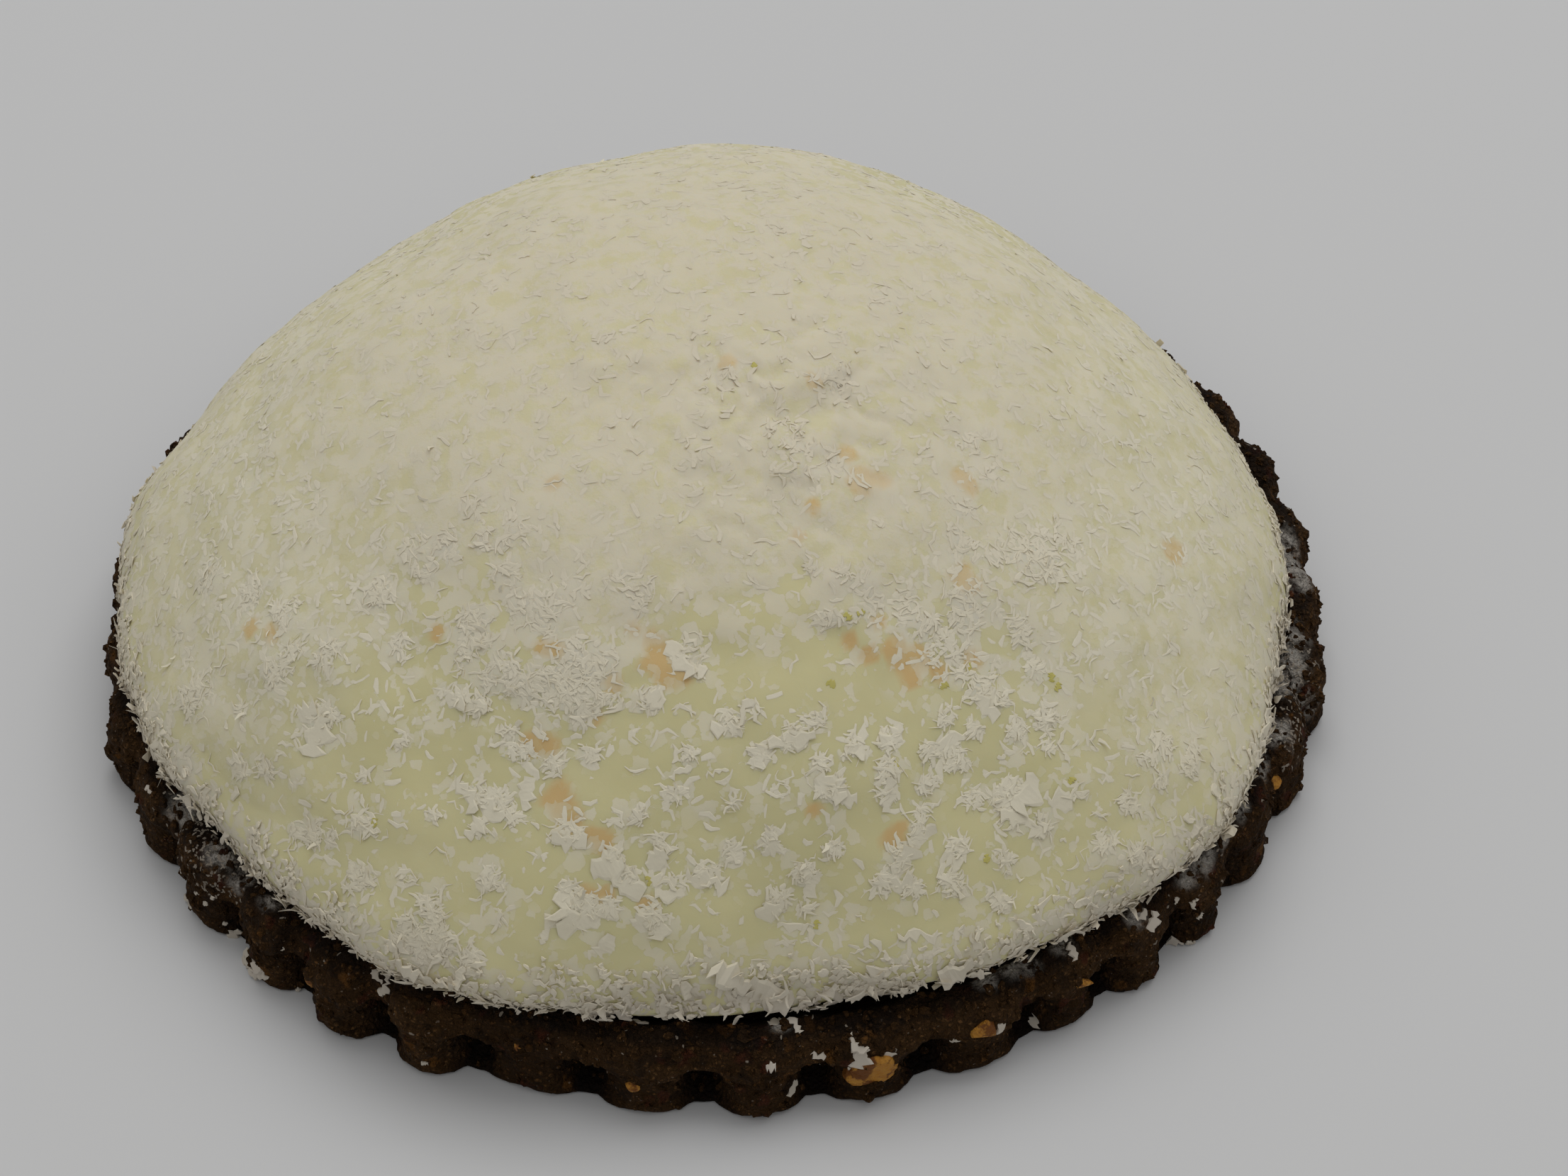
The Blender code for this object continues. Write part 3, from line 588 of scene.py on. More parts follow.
def mound_radius(direction, height):
    """The mound's radius: the lesser of a slope that rounds over towards the top and a tuck under
    the lip towards the recess, each run on past the lip, with a rounded corner between them."""
    climb = np.clip((height - LIP_HEIGHT) / (MOUND_TOP - LIP_HEIGHT), 0.0, 1.0)
    drop = np.clip((LIP_HEIGHT - height) / (LIP_HEIGHT - RECESS_HEIGHT - GAP), 0.0, 1.0)
    beyond = (height - LIP_HEIGHT) / (LIP_HEIGHT - RECESS_HEIGHT - GAP)
    below = (LIP_HEIGHT - height) / (MOUND_TOP - LIP_HEIGHT)
    above = height > LIP_HEIGHT
    slope = MOUND_RADIUS * np.where(
        above,
        (1.0 - climb**SLOPE_POWER) ** (1.0 / ROUND_POWER),
        1.0 + np.maximum(below, 0.0) ** SLOPE_POWER / ROUND_POWER,
    )
    tuck = MOUND_RADIUS + LIP_TUCK * np.where(
        above, np.maximum(beyond, 0.0) ** TUCK_POWER, -(drop**TUCK_POWER)
    )
    wave_share = np.where(above, np.sqrt(1.0 - climb), 1.0 - (1.0 - FOOT_WAVES) * drop)
    radius = 0.5 * (slope + tuck) - np.hypot(0.5 * (slope - tuck), LIP_ROUND)
    waves = wave_share * (waviness(direction, MOUND_WAVES) - 1.0)
    toward, reach = np.array(LIP_SHAPE).T
    lip = np.interp(np.degrees(direction) % 360.0, toward, reach, left=0.0, right=0.0)
    lip = lip * ease(LIP_FROM, LIP_HEIGHT, height) * (1.0 - ease(LIP_HEIGHT, LIP_TO, height))
    return np.maximum(radius, 0.0) * (1.0 + waves) + lip


def coat_share(direction, height, points):
    """How much of the cream is covered: most above the coat's lower edge, whose line wanders with
    the noise and is sharpest over the front, less below it, and more again along the foot."""
    degrees = np.degrees(direction) % 360.0
    toward, edge = np.array(COAT_EDGE).T
    level = np.interp(degrees, toward, edge, left=0.0, right=0.0)
    wander = layered(points, EDGE_WANDER)
    middle = ease(*COAT_MIDDLE_COSINES, np.cos(direction - math.radians(COAT_MIDDLE)))
    soft = mixed(*EDGE_SOFTNESS, middle)
    above = ease(-soft, soft, height + wander - level)
    foot = BAND_TOP + layered(points, BAND_WANDER)
    below = 1.0 - ease(*BAND_SOFTNESS, height + 0.5 * wander - foot)
    crown = ease(*CROWN_HEIGHTS, height)
    cover = BARE_COAT + (MIDDLE_COAT - BARE_COAT) * above + (UPPER_COAT - MIDDLE_COAT) * crown
    return np.maximum(cover, mixed(SIDE_FOOT_COAT, FOOT_COAT, middle) * below)


def mound_surface():
    """Rings from the recess up to the tip, closest where the slope turns, then pushed outwards by
    soft lumps and by the coat's thickness, and inwards where crevices run near the top, which are
    deepest where their noise crosses zero. Also the coat, its cover and the tufts on the rings."""
    floor = RECESS_HEIGHT + GAP
    tuck = np.linspace(floor, LIP_HEIGHT, TUCK_RINGS, endpoint=False)
    turn = 0.5 * math.pi * np.arange(MOUND_RINGS) / (MOUND_RINGS - 1)
    climb = np.sin(turn) ** (2.0 / SLOPE_POWER)
    height = np.concatenate([tuck, mixed(LIP_HEIGHT, MOUND_TOP, climb)])[:, None]
    direction = 2.0 * math.pi * np.arange(MOUND_SIDES) / MOUND_SIDES
    radius = mound_radius(direction, height)
    points = np.stack(
        [
            MOUND_CENTRE[0] + radius * np.cos(direction),
            MOUND_CENTRE[1] + radius * np.sin(direction),
            height + 0.0 * radius,
        ],
        axis=-1,
    )
    away = points - np.array([0.0, 0.0, SWELL_CENTRE])
    away /= np.linalg.norm(away, axis=-1, keepdims=True)
    coat = coat_share(direction, height, points)
    swell = layered(points, SWELLS)
    swell -= COAT_DEPTH * (1.0 - coat)
    way = np.sum((points - np.array(CLEFT_MIDDLE)) ** 2, axis=-1)
    cleft_share = np.exp(-way / 2.0 / CLEFT_REACH**2)
    crossing = CLEFT_NARROWNESS * np.abs(layered(points, CLEFTS))
    swell -= CLEFT_DEPTH * cleft_share * np.maximum(1.0 - crossing, 0.0)
    swell += cleft_share * layered(points, CLEFT_LUMPS)
    rough = coat * (1.0 - HIGH_SMOOTHNESS * ease(*CALM_HEIGHTS, height))
    swell += rough * layered(points, COAT_LUMPS)
    swell += layered(points, SMALL_SWELLS)
    cover, seen = tufts_on(Surface(points, slopes_of(points), direction, height), coat)
    swell += TUFT_DEPTH * (cover - MEAN_COVER * coat)
    points = points + (ease(RECESS_HEIGHT, LIP_HEIGHT, height) * swell)[..., None] * away
    return Surface(points, slopes_of(points), direction, height + 0.0 * radius), coat, cover, seen


def flanks(surface):
    """How calm the coat is on the mound's sides: 1 on the right, less on the left and 0 in front,
    behind and along the foot."""
    sideways = np.cos(surface.direction)
    side = ease(*FLANK_COSINES, np.abs(sideways)) * ease(*FLANK_HEIGHTS, surface.height)
    return side * np.where(sideways > 0.0, 1.0, LEFT_FLANK)


def spotted(surface, table, fade, edges):
    """How near each point is to a spot of the table: 1 up to one share of its radius and 0 beyond
    another, with an edge that the noise makes ragged."""
    middles, _ = seen_at(surface, [spot[:2] for spot in table])
    ragged = layered(surface.points, edges)
    share = np.zeros(surface.points.shape[:2])
    for middle, (_, _, radius) in zip(middles, table):
        away = np.linalg.norm(surface.points - middle, axis=-1) / radius + ragged
        share = np.maximum(share, 1.0 - ease(*fade, away))
    return share


def tufts_on(surface, coat):
    """How thick the coconut lies, from 0 to 1, and how much of that is the tufts that are seen: the
    coat times a sum of wide, middling and small hills, calmer in front, on the flanks and on the
    crown, plus the seen tufts."""
    pattern = layered(surface.points, COVER_PATTERN)
    seen = spotted(surface, TUFTS, TUFT_FADE, TUFT_EDGES)
    front = ease(0.0, 0.5, -np.sin(surface.direction))
    calm = np.maximum(FRONT_CALM * front, HIGH_CALM * ease(*CALM_HEIGHTS, surface.height))
    calm = np.maximum(calm, FLANK_CALM * flanks(surface))
    patched = mixed(*PATTERN_COVER, ease(*PATTERN_FROM, pattern))
    cover = coat * mixed(EVEN_COVER, patched, 1.0 - CALMING * calm)
    return np.clip(cover + SEEN_COVER * seen, 0.0, 1.0), seen


# Meshes.


def mesh_piece(name, points, faces, smooth=True):
    """An object at the origin from points in millimetres and lists of corners. A point that would
    lie under the floor is lifted to it."""
    mesh = bpy.data.meshes.new(name)
    points = np.maximum(points.reshape(-1, 3), (-np.inf, -np.inf, 0.0))
    mesh.from_pydata((points * MM).tolist(), [], faces)
    mesh.polygons.foreach_set("use_smooth", np.full(len(mesh.polygons), smooth))
    mesh.update()
    piece = bpy.data.objects.new(name, mesh)
    bpy.context.scene.collection.objects.link(piece)
    return piece


def turned_piece(name, surface, bottom, top):
    """A closed piece from a surface's rings, with a point that closes them below and above."""
    rings, sides = surface.points.shape[:2]
    number = np.arange(rings * sides).reshape(rings, sides)
    after = np.roll(number, -1, axis=1)
    quads = np.stack([number[:-1], after[:-1], after[1:], number[1:]], axis=-1).reshape(-1, 4)
    low, high = rings * sides, rings * sides + 1
    under = np.stack([after[0], number[0], np.full(sides, low)], axis=-1)
    over = np.stack([number[-1], after[-1], np.full(sides, high)], axis=-1)
    points = np.concatenate([surface.points.reshape(-1, 3), np.array([bottom, top])])
    return mesh_piece(name, points, quads.tolist() + under.tolist() + over.tolist())


def shred_piece(name, spots, normals, headings, size, form, seed):
    """Many shreds of coconut in one mesh. Each is a closed strip along its heading on the surface,
    cut across at a few stations. Its middle line bends sideways and curls off the surface as the
    square of the way from its middle, its width narrows as that square with a ragged part, and
    its section, a flat plate with sloping sides, twists as it goes and thins towards its ends."""
    draw = np.random.default_rng(seed)
    count = len(spots)
    stations, corners = form["stations"], 4
    length, width, thick = (
        np.reshape(usual, (-1, 1)) * draw.uniform(1.0 - spread, 1.0 + spread, (count, 1))
        for usual, spread in zip(size, form["spread"])
    )
    along = np.linspace(-1.0, 1.0, stations)[None, :]
    bend = length * draw.normal(0.0, form["bend"], (count, 1))
    kink = length * draw.normal(0.0, form["kink"], (count, stations))
    curl = length * draw.normal(0.0, form["curl"], (count, 1))
    rise = draw.uniform(*form["rise"], (count, 1))
    tilt = draw.normal(0.0, form["tilt"], (count, 1))
    tilt += (draw.random((count, 1)) < form["stray"]) * draw.uniform(-0.6, 0.6, (count, 1))
    lean = draw.normal(0.0, form["twist"], (2, count, 1))
    lean = lean[0] + 2.0 * lean[1] * along
    ragged = draw.uniform(1.0 - form["ragged"], 1.0 + form["ragged"], (count, stations))
    half = 0.5 * width * (1.0 - form["taper"] * along**2) * ragged
    tangent = np.cross(normals, np.cross(headings, normals))
    tangent /= np.maximum(np.linalg.norm(tangent, axis=-1, keepdims=True), 1e-9)
    side = np.cross(normals, tangent)
    reach = 0.5 * length * along
    line = (
        spots[:, None, :]
        + (reach * np.cos(tilt))[..., None] * tangent[:, None, :]
        + (bend * along**2 + kink)[..., None] * side[:, None, :]
        + (rise + reach * np.sin(tilt) + curl * along**2)[..., None] * normals[:, None, :]
    )
    level = 0.5 * thick * (1.0 - THIN_ENDS * along**2)
    across = half[..., None] * np.array([TOP_SHARE, -TOP_SHARE, -1.0, 1.0])
    above = level[..., None] * np.array([1.0, 1.0, -1.0, -1.0])
    cosine, sine = np.cos(lean)[..., None], np.sin(lean)[..., None]
    points = (
        line[:, :, None, :]
        + (cosine * across - sine * above)[..., None] * side[:, None, None, :]
        + (sine * across + cosine * above)[..., None] * normals[:, None, None, :]
    )
    number = np.arange(count * stations * corners).reshape(count, stations, corners)
    after = np.roll(number, -1, axis=2)
    walls = np.stack([number[:, :-1], after[:, :-1], after[:, 1:], number[:, 1:]], axis=-1)
    ends = [number[:, 0, ::-1], number[:, -1, :]]
    faces = walls.reshape(-1, 4).tolist() + ends[0].tolist() + ends[1].tolist()
    return mesh_piece(name, points, faces, smooth=False)


def lump_piece(name, spots, normals, size, form, seed):
    """Many small lumps in one mesh. A lump's radius in a direction is that of a ball cut by random
    planes: 1 over the root of the sum, over its planes, of the power of (the direction along the
    plane's normal, over the plane's distance). Each is stretched and sunk into the surface."""
    draw = np.random.default_rng(seed)
    count = len(spots)
    rings, corners = form["rings"], form["corners"]
    polar = math.pi * (np.arange(rings) + 1.0)[:, None] / (rings + 1.0)
    turn = 2.0 * math.pi * (np.arange(corners) + 0.5 * (np.arange(rings)[:, None] % 2)) / corners
    ball = np.stack(
        [np.sin(polar) * np.cos(turn), np.sin(polar) * np.sin(turn), np.cos(polar) + 0.0 * turn],
        axis=-1,
    ).reshape(-1, 3)
    ball = np.concatenate([ball, [(0.0, 0.0, 1.0), (0.0, 0.0, -1.0)]])
    planes = draw.normal(size=(count, form["planes"], 3))
    planes /= np.linalg.norm(planes, axis=-1, keepdims=True)
    distance = draw.uniform(form["least"], 1.0, (count, 1, form["planes"]))
    beyond = np.maximum(ball @ planes.transpose(0, 2, 1), 0.0) / distance
    radius = np.sum(beyond ** form["power"], axis=-1) ** (-1.0 / form["power"])
    radius = np.minimum(radius, 1.25)
    stretch = draw.uniform(1.0 - form["stretch"], 1.0 + form["stretch"], (count, 1, 3))
    half = 0.5 * np.reshape(size, (-1, 1, 1)) * draw.uniform(0.7, 1.3, (count, 1, 1))
    middle = spots[:, None, :] - form["sunk"] * half * normals[:, None, :]
    points = middle + half * stretch * radius[..., None] * ball
    each = rings * corners + 2
    number = np.arange(count)[:, None] * each + np.arange(each)
    grid = number[:, :-2].reshape(count, rings, corners)
    after = np.roll(grid, -1, axis=2)
    walls = np.stack([grid[:, :-1], grid[:, 1:], after[:, 1:], after[:, :-1]], axis=-1)
    top = np.broadcast_to(number[:, -2, None], (count, corners))
    bottom = np.broadcast_to(number[:, -1, None], (count, corners))
    over = np.stack([grid[:, 0], after[:, 0], top], axis=-1).reshape(-1, 3)
    under = np.stack([after[:, -1], grid[:, -1], bottom], axis=-1).reshape(-1, 3)
    faces = walls.reshape(-1, 4).tolist() + over.tolist() + under.tolist()
    return mesh_piece(name, points, faces, smooth=False)


def spread_over(surface, weights, count, draw):
    """Points drawn on the surface, as many to an area as its weight asks, and the normals there:
    a cell is drawn by its area times its weight, then a place in it."""
    points, normals = surface.points, surface.normals
    right = np.roll(points, -1, axis=1)
    cells = np.linalg.norm(
        np.cross(right[:-1] - points[:-1], points[1:] - points[:-1]), axis=-1
    )
    share = (cells * weights[:-1]).ravel()
    cell = draw.choice(len(share), count, p=share / share.sum())
    row, column = np.unravel_index(cell, cells.shape)
    beside = (column + 1) % points.shape[1]
    up, over = draw.random((2, count, 1))
    found = []
    for values in (points, normals):
        low = mixed(values[row, column], values[row, beside], over)
        high = mixed(values[row + 1, column], values[row + 1, beside], over)
        found.append(mixed(low, high, up))
    spots, out = found
    return spots, out / np.linalg.norm(out, axis=-1, keepdims=True)


# The camera and what it sees.


def camera_axes():
    """Where the camera is, in millimetres, and which way are its right, its up and its back."""
    tilt = math.radians(CAMERA_ELEVATION)
    roll = math.radians(CAMERA_ROLL)
    back = np.array([0.0, -math.cos(tilt), math.sin(tilt)])
    level = np.array([1.0, 0.0, 0.0])
    upright = np.array([0.0, math.sin(tilt), math.cos(tilt)])
    right = math.cos(roll) * level + math.sin(roll) * upright
    up = math.cos(roll) * upright - math.sin(roll) * level
    place = CAMERA_DISTANCE * back + CAMERA_SIDEWAYS * right + CAMERA_UPWARDS * up
    return place, right, up, back


def seen_at(surface, pixels):
    """The points of a surface that show at pixels of the photograph, and the normals there: of the
    grid points that face the camera, the one whose picture is nearest."""
    place, right, up, back = camera_axes()
    points = surface.points.reshape(-1, 3)
    normals = surface.normals.reshape(-1, 3)
    facing = np.sum(normals * (place - points), axis=-1) > 0.0
    points, normals = points[facing], normals[facing]
    ray = points - place
    depth = -ray @ back
    across = 0.5 * PHOTO_WIDTH + FOCAL_PIXELS * (ray @ right) / depth
    down = 0.5 * PHOTO_HEIGHT - FOCAL_PIXELS * (ray @ up) / depth
    nearest = [
        np.argmin((across - x) ** 2 + (down - y) ** 2) for x, y in np.asarray(pixels, float)
    ]
    return points[nearest], normals[nearest]


def seen_headings(degrees):
    """Directions that lie at so many degrees from the right in the photograph."""
    _, right, up, _ = camera_axes()
    turn = np.radians(np.asarray(degrees, float))[:, None]
    return np.cos(turn) * right + np.sin(turn) * up


def found_at(surface, places):
    """The points of a surface nearest to directions and heights, and the normals there."""
    points = surface.points.reshape(-1, 3)
    normals = surface.normals.reshape(-1, 3)
    turn = np.arctan2(points[:, 1], points[:, 0])
    nearest = []
    for direction, height in places:
        apart = np.hypot(np.cos(turn) - math.cos(math.radians(direction)),
                         np.sin(turn) - math.sin(math.radians(direction)))
        nearest.append(np.argmin((CRUST_RADIUS * apart) ** 2 + (points[:, 2] - height) ** 2))
    return points[nearest], normals[nearest]


def set_camera():
    """The camera whose picture of the cake fits the photograph's, with everything in focus."""
    place, right, up, back = camera_axes()
    turn = Matrix((right, up, back)).transposed().to_4x4()
    lens = bpy.data.cameras.new("camera")
    lens.sensor_width = SENSOR
    lens.lens = FOCAL_PIXELS * SENSOR / PHOTO_WIDTH
    lens.clip_start = 0.01
    camera = bpy.data.objects.new("camera", lens)
    camera.matrix_world = Matrix.Translation(place * MM) @ turn
    bpy.context.scene.collection.objects.link(camera)
    bpy.context.scene.camera = camera


# Materials.


class Wire:
    """A value on its way through a material's nodes. Sums, products and the like of wires and
    numbers add Math nodes."""

    def __init__(self, paint, socket):
        self.paint = paint
        self.socket = socket

    def maths(self, operation, first, second):
        """A Math node over two wires or numbers."""
        return self.paint.node("ShaderNodeMath", {"operation": operation}, {0: first, 1: second})

    def __add__(self, other):
        return self.maths("ADD", self, other)

    def __radd__(self, other):
        return self.maths("ADD", other, self)

    def __sub__(self, other):
        return self.maths("SUBTRACT", self, other)

    def __rsub__(self, other):
        return self.maths("SUBTRACT", other, self)

    def __mul__(self, other):
        return self.maths("MULTIPLY", self, other)

    def __rmul__(self, other):
        return self.maths("MULTIPLY", other, self)


class Paint:
    """One material: its Principled shader, and the nodes that lead to it."""

    def __init__(self, name, roughness):
        self.material = bpy.data.materials.new(name)
        self.material.use_nodes = True
        self.tree = self.material.node_tree
        self.shader = self.tree.nodes["Principled BSDF"]
        self.shader.inputs["Roughness"].default_value = roughness
        self.shader.inputs["Specular IOR Level"].default_value = 0.15
        self.place = self.node("ShaderNodeTexCoord", output="Object")

    def node(self, kind, settings=None, sockets=None, output=0):
        """A node of a kind: its settings first, then the value or the wire at each socket."""
        made = self.tree.nodes.new(kind)
        for key, value in (settings or {}).items():
            if key == "stops":
                ramp = made.color_ramp.elements
                for number, (position, colour) in enumerate(value):
                    stop = ramp[number] if number < 2 else ramp.new(position)
                    stop.position = position
                    stop.color = (*colour, 1.0)
            else:
                setattr(made, key, value)
        for key, value in (sockets or {}).items():
            if isinstance(value, Wire):
                self.tree.links.new(value.socket, made.inputs[key])
            else:
                made.inputs[key].default_value = value
        return Wire(self, made.outputs[output])

    def noise(self, size, detail=2.0, roughness=0.5, place=None):
        """Noise from 0 to 1 whose largest features are about size millimetres across."""
        return self.node(
            "ShaderNodeTexNoise",
            None,
            {
                "Vector": place or self.place,
                "Scale": 1.0 / (size * MM),
                "Detail": detail,
                "Roughness": roughness,
            },
        )

    def wobbled(self, size, reach):
        """The place, moved about by noise of so many millimetres, as far as reach."""
        settings = {"Vector": self.place, "Scale": 1.0 / (size * MM), "Detail": 2.0}
        way = self.node("ShaderNodeTexNoise", None, settings, "Color")
        middled = self.node(
            "ShaderNodeVectorMath", {"operation": "SUBTRACT"}, {0: way, 1: (0.5, 0.5, 0.5)}
        )
        return self.node(
            "ShaderNodeVectorMath",
            {"operation": "MULTIPLY_ADD"},
            {0: middled, 1: (4.0 * reach * MM,) * 3, 2: self.place},
        )

    def cells(self, size, output="Distance", place=None):
        """A cell pattern: the way to the nearest cell's middle, or that cell's own colour."""
        sockets = {"Vector": place or self.place, "Scale": 1.0 / (size * MM)}
        return self.node("ShaderNodeTexVoronoi", None, sockets, output)

    def chance(self, size, channel="Red", place=None):
        """A number from 0 to 1 for each cell of the pattern."""
        colour = self.cells(size, "Color", place)
        return self.node("ShaderNodeSeparateColor", None, {"Color": colour}, channel)

    def between(self, value, low, high):
        """0 where the value is below low and 1 above high, with a smooth rise between."""
        return self.node(
            "ShaderNodeMapRange",
            {"interpolation_type": "SMOOTHSTEP"},
            {"Value": value, "From Min": low, "From Max": high},
        )

    def blend(self, share, first, second):
        """A mix of two colours, each a wire or three numbers."""
        sockets = {0: share}
        for key, colour in ((6, first), (7, second)):
            sockets[key] = colour if isinstance(colour, Wire) else (*colour, 1.0)
        return self.node("ShaderNodeMix", {"data_type": "RGBA"}, sockets, 2)

    def attribute(self, name):
        """A value kept at each point of the piece."""
        return self.node("ShaderNodeAttribute", {"attribute_name": name}, None, "Fac")

    def colour(self, value):
        """Lets a wire set the shader's colour."""
        self.tree.links.new(value.socket, self.shader.inputs["Base Color"])

    def roughness(self, value):
        """Lets a wire set the shader's roughness."""
        self.tree.links.new(value.socket, self.shader.inputs["Roughness"])

    def relief(self, height, depth):
        """Bumps of so many millimetres where the height goes from 0 to 1."""
        bump = self.node(
            "ShaderNodeBump", None, {"Strength": 1.0, "Distance": depth * MM, "Height": height}
        )
        self.tree.links.new(bump.socket, self.shader.inputs["Normal"])

    def glow_through(self, share, reach):
        """Light that enters and leaves again nearby: how much, and how far for each colour, in
    millimetres."""
        self.shader.inputs["Subsurface Weight"].default_value = share
        self.shader.inputs["Subsurface Radius"].default_value = reach
        self.shader.inputs["Subsurface Scale"].default_value = MM


def coconut_tone(paint):
    """The coconut's off-white: yellower on the crown, and greyer and darker at the foot, which is
    painted shade under the lip.
    """
    height = paint.node("ShaderNodeSeparateXYZ", None, {"Vector": paint.place}, "Z")
    share = height * (1.0 / (TONE_HEIGHT * MM))
    return paint.node("ShaderNodeValToRGB", {"stops": COCONUT_STOPS}, {"Fac": share})


def cream_paint():
    """Pale yellow cream that shows in patches between bits of the coat, with peach stains."""
    paint = Paint("cream under coconut", 0.6)
    coat = paint.attribute("coat")
    cover = paint.attribute("cover")
    stain = paint.attribute("stain")
    bare = paint.blend(paint.noise(7.0, 3.0, 0.55), *CREAM_TONES)
    place = paint.wobbled(0.7, 0.22)
    bits = paint.between(cover - paint.chance(1.2, "Red", place), -0.08, 0.08)
    crumbs = paint.between(0.6 * cover - paint.chance(0.6, "Green", place), -0.08, 0.08)
    covered = bits + crumbs - bits * crumbs
    blurred = 0.22 + 0.78 * paint.between(paint.noise(2.1, 4.0, 0.66), 0.36, 0.54)
    sharp = (1.0 - 0.85 * paint.between(coat, 0.58, 0.82)) * (1.0 - 0.65 * paint.attribute("flank"))
    covered = blurred + sharp * (covered - blurred)
    haze = paint.between(coat, 0.25, 0.80)
    share = 0.04 * haze + 0.22 * cover + 0.70 * covered
    surface = paint.blend(share, bare, coconut_tone(paint))
    surface = paint.blend(stain * (1.0 - 0.5 * covered), surface, PEACH)
    paint.colour(surface)
    paint.roughness(0.5 + 0.35 * covered)
    paint.relief(0.5 * covered + 0.3 * paint.noise(0.8, 3.0, 0.6), 0.06)
    paint.glow_through(0.25, (1.6, 1.2, 0.7))
    return paint.material


def coconut_paint():
    """Dry coconut with a little variation from shred to shred."""
    paint = Paint("dry coconut", 0.7)
    shade = paint.between(paint.noise(2.2, 1.0, 0.5), 0.3, 0.7)
    paint.colour(paint.blend(0.10 * shade, coconut_tone(paint), COCONUT_SHADE))
    paint.relief(paint.noise(0.5, 2.0, 0.5), 0.03)
    return paint.material


def dust_paint():
    """Fine coconut that has taken up the crust's brown."""
    paint = Paint("coconut dust", 0.8)
    paint.colour(paint.blend(paint.noise(0.8), *BROWN_DUST_TONES))
    return paint.material


def zest_paint():
    """Specks of yellow-green zest."""
    paint = Paint("green zest", 0.6)
    paint.colour(paint.blend(paint.noise(0.6), *ZEST_TONES))
    return paint.material


def crust_paint():
    """Very dark baked crumb: fine grains, each its own tone, in a darker paste, some of them
    reddish or orange-brown, with painted highlights on grains and rare painted glints, painted
    shade in pits, in the notches and under the mound's lip, and patches of pale dust."""
    paint = Paint("baked cocoa crumb", 0.8)
    paint.shader.inputs["Specular IOR Level"].default_value = 0.08
    broad = paint.between(paint.noise(6.0, 3.0, 0.6), 0.35, 0.65)
    place = paint.wobbled(0.4, 0.12)
    grain = paint.cells(0.42, place=place)
    shade = paint.chance(0.42, "Blue", place)
    base = paint.blend(broad, *PASTE_TONES)
    # Painted highlights: grains lit on top, much paler than the paste, on a share of the cells.
    lit = paint.blend(broad, *GRAIN_HIGHLIGHT_TONES)
    speck = paint.between(paint.noise(0.35, 4.0, 0.75), 0.45, 0.60)
    base = paint.blend((1.0 - paint.between(grain, 0.15, 0.60)) * shade * speck, base, lit)
    rough = paint.wobbled(1.0, 0.45)
    warm = 1.0 - paint.between(paint.cells(1.5, place=rough), 0.20, 0.55)
    kind = paint.chance(1.5, "Red", rough)
    base = paint.blend(0.6 * warm * paint.between(kind, 0.80, 0.82), base, REDDISH)
    base = paint.blend(0.6 * warm * (1.0 - paint.between(kind, 0.08, 0.09)), base, ORANGE_BROWN)
    glint = 1.0 - paint.between(paint.cells(0.3, place=place), 0.18, 0.34)
    rare = paint.between(paint.chance(0.3, "Green", place), 0.94, 0.95)
    base = paint.blend(0.75 * glint * rare, base, PALE_GLINT)
    # Painted shade in pits: dark patches where the noise is low.
    pit_shade = 1.0 - paint.between(paint.noise(1.8, 4.0, 0.65), 0.38, 0.48)
    base = paint.blend(0.50 * pit_shade, base, PIT_SHADE_BLACK)
    # Painted shade, near black, in the notches between lobes and under the mound's lip.
    base = paint.blend(0.85 * paint.attribute("gap_shade"), base, PAINTED_SHADE_BLACK)
    dusty = paint.attribute("dust") * paint.between(paint.noise(1.1, 4.0, 0.65), 0.33, 0.55)
    dust = paint.blend(paint.noise(0.7, 3.0, 0.6), *PALE_DUST_TONES)
    base = paint.blend(0.88 * dusty, base, dust)
    paint.colour(base)
    paint.relief((1.0 - grain) + 0.8 * paint.noise(0.3, 3.0, 0.6) + 0.9 * paint.noise(1.3), 0.62)
    return paint.material


def nut_paint():
    """Chopped nut: golden flesh, with an orange-brown skin in patches."""
    paint = Paint("chopped nut", 0.5)
    skin = paint.between(paint.noise(1.6, 4.0, 0.65), 0.46, 0.56)
    flesh = paint.blend(paint.noise(0.7, 2.0, 0.6), *NUT_TONES)
    paint.colour(paint.blend(0.85 * skin, flesh, NUT_SKIN))
    paint.relief(paint.noise(0.5, 3.0, 0.6), 0.25)
    return paint.material


def floor_paint():
    """A plain pale floor."""
    paint = Paint("pale floor", 0.65)
    paint.shader.inputs["Base Color"].default_value = FLOOR_COLOUR
    return paint.material


def finish(piece, material, slot, *nodes):
    """Gives a piece its material, ties it to the cake's body, and hides the solids it stands for."""
    piece.data.materials.append(material)
    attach(piece, "root")
    if nodes:
        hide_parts(*nodes)


def keep_value(piece, name, values, rest=0.0):
    """Stores a value at each point of the piece for its material to read: the given ones at its
    first points, and one for all the others, such as the two that close it below and above."""
    kept = piece.data.attributes.new(name, "FLOAT", "POINT")
    stored = np.full(len(piece.data.vertices), rest, np.float32)
    stored[: values.size] = values.ravel()
    kept.data.foreach_set("value", stored)


def random_headings(count, draw):
    """Directions drawn evenly over the ball."""
    headings = draw.normal(size=(count, 3))
    return headings / np.linalg.norm(headings, axis=-1, keepdims=True)


def placed_flakes(name, surface, table, thick, form, seed, lean=0.0):
    """Flakes at their places in the photograph, which may lean to where the camera stands."""
    across, down, length, width, degrees = np.array(table, float).T
    spots, out = seen_at(surface, np.stack([across, down], axis=-1))
    toward = camera_axes()[0] - spots
    out = out + lean * toward / np.linalg.norm(toward, axis=-1, keepdims=True)
    out = out / np.linalg.norm(out, axis=-1, keepdims=True)
    size = (length / PIXELS_TO_MM, width / PIXELS_TO_MM, thick)
    return shred_piece(name, spots, out, seen_headings(degrees), size, form, seed)


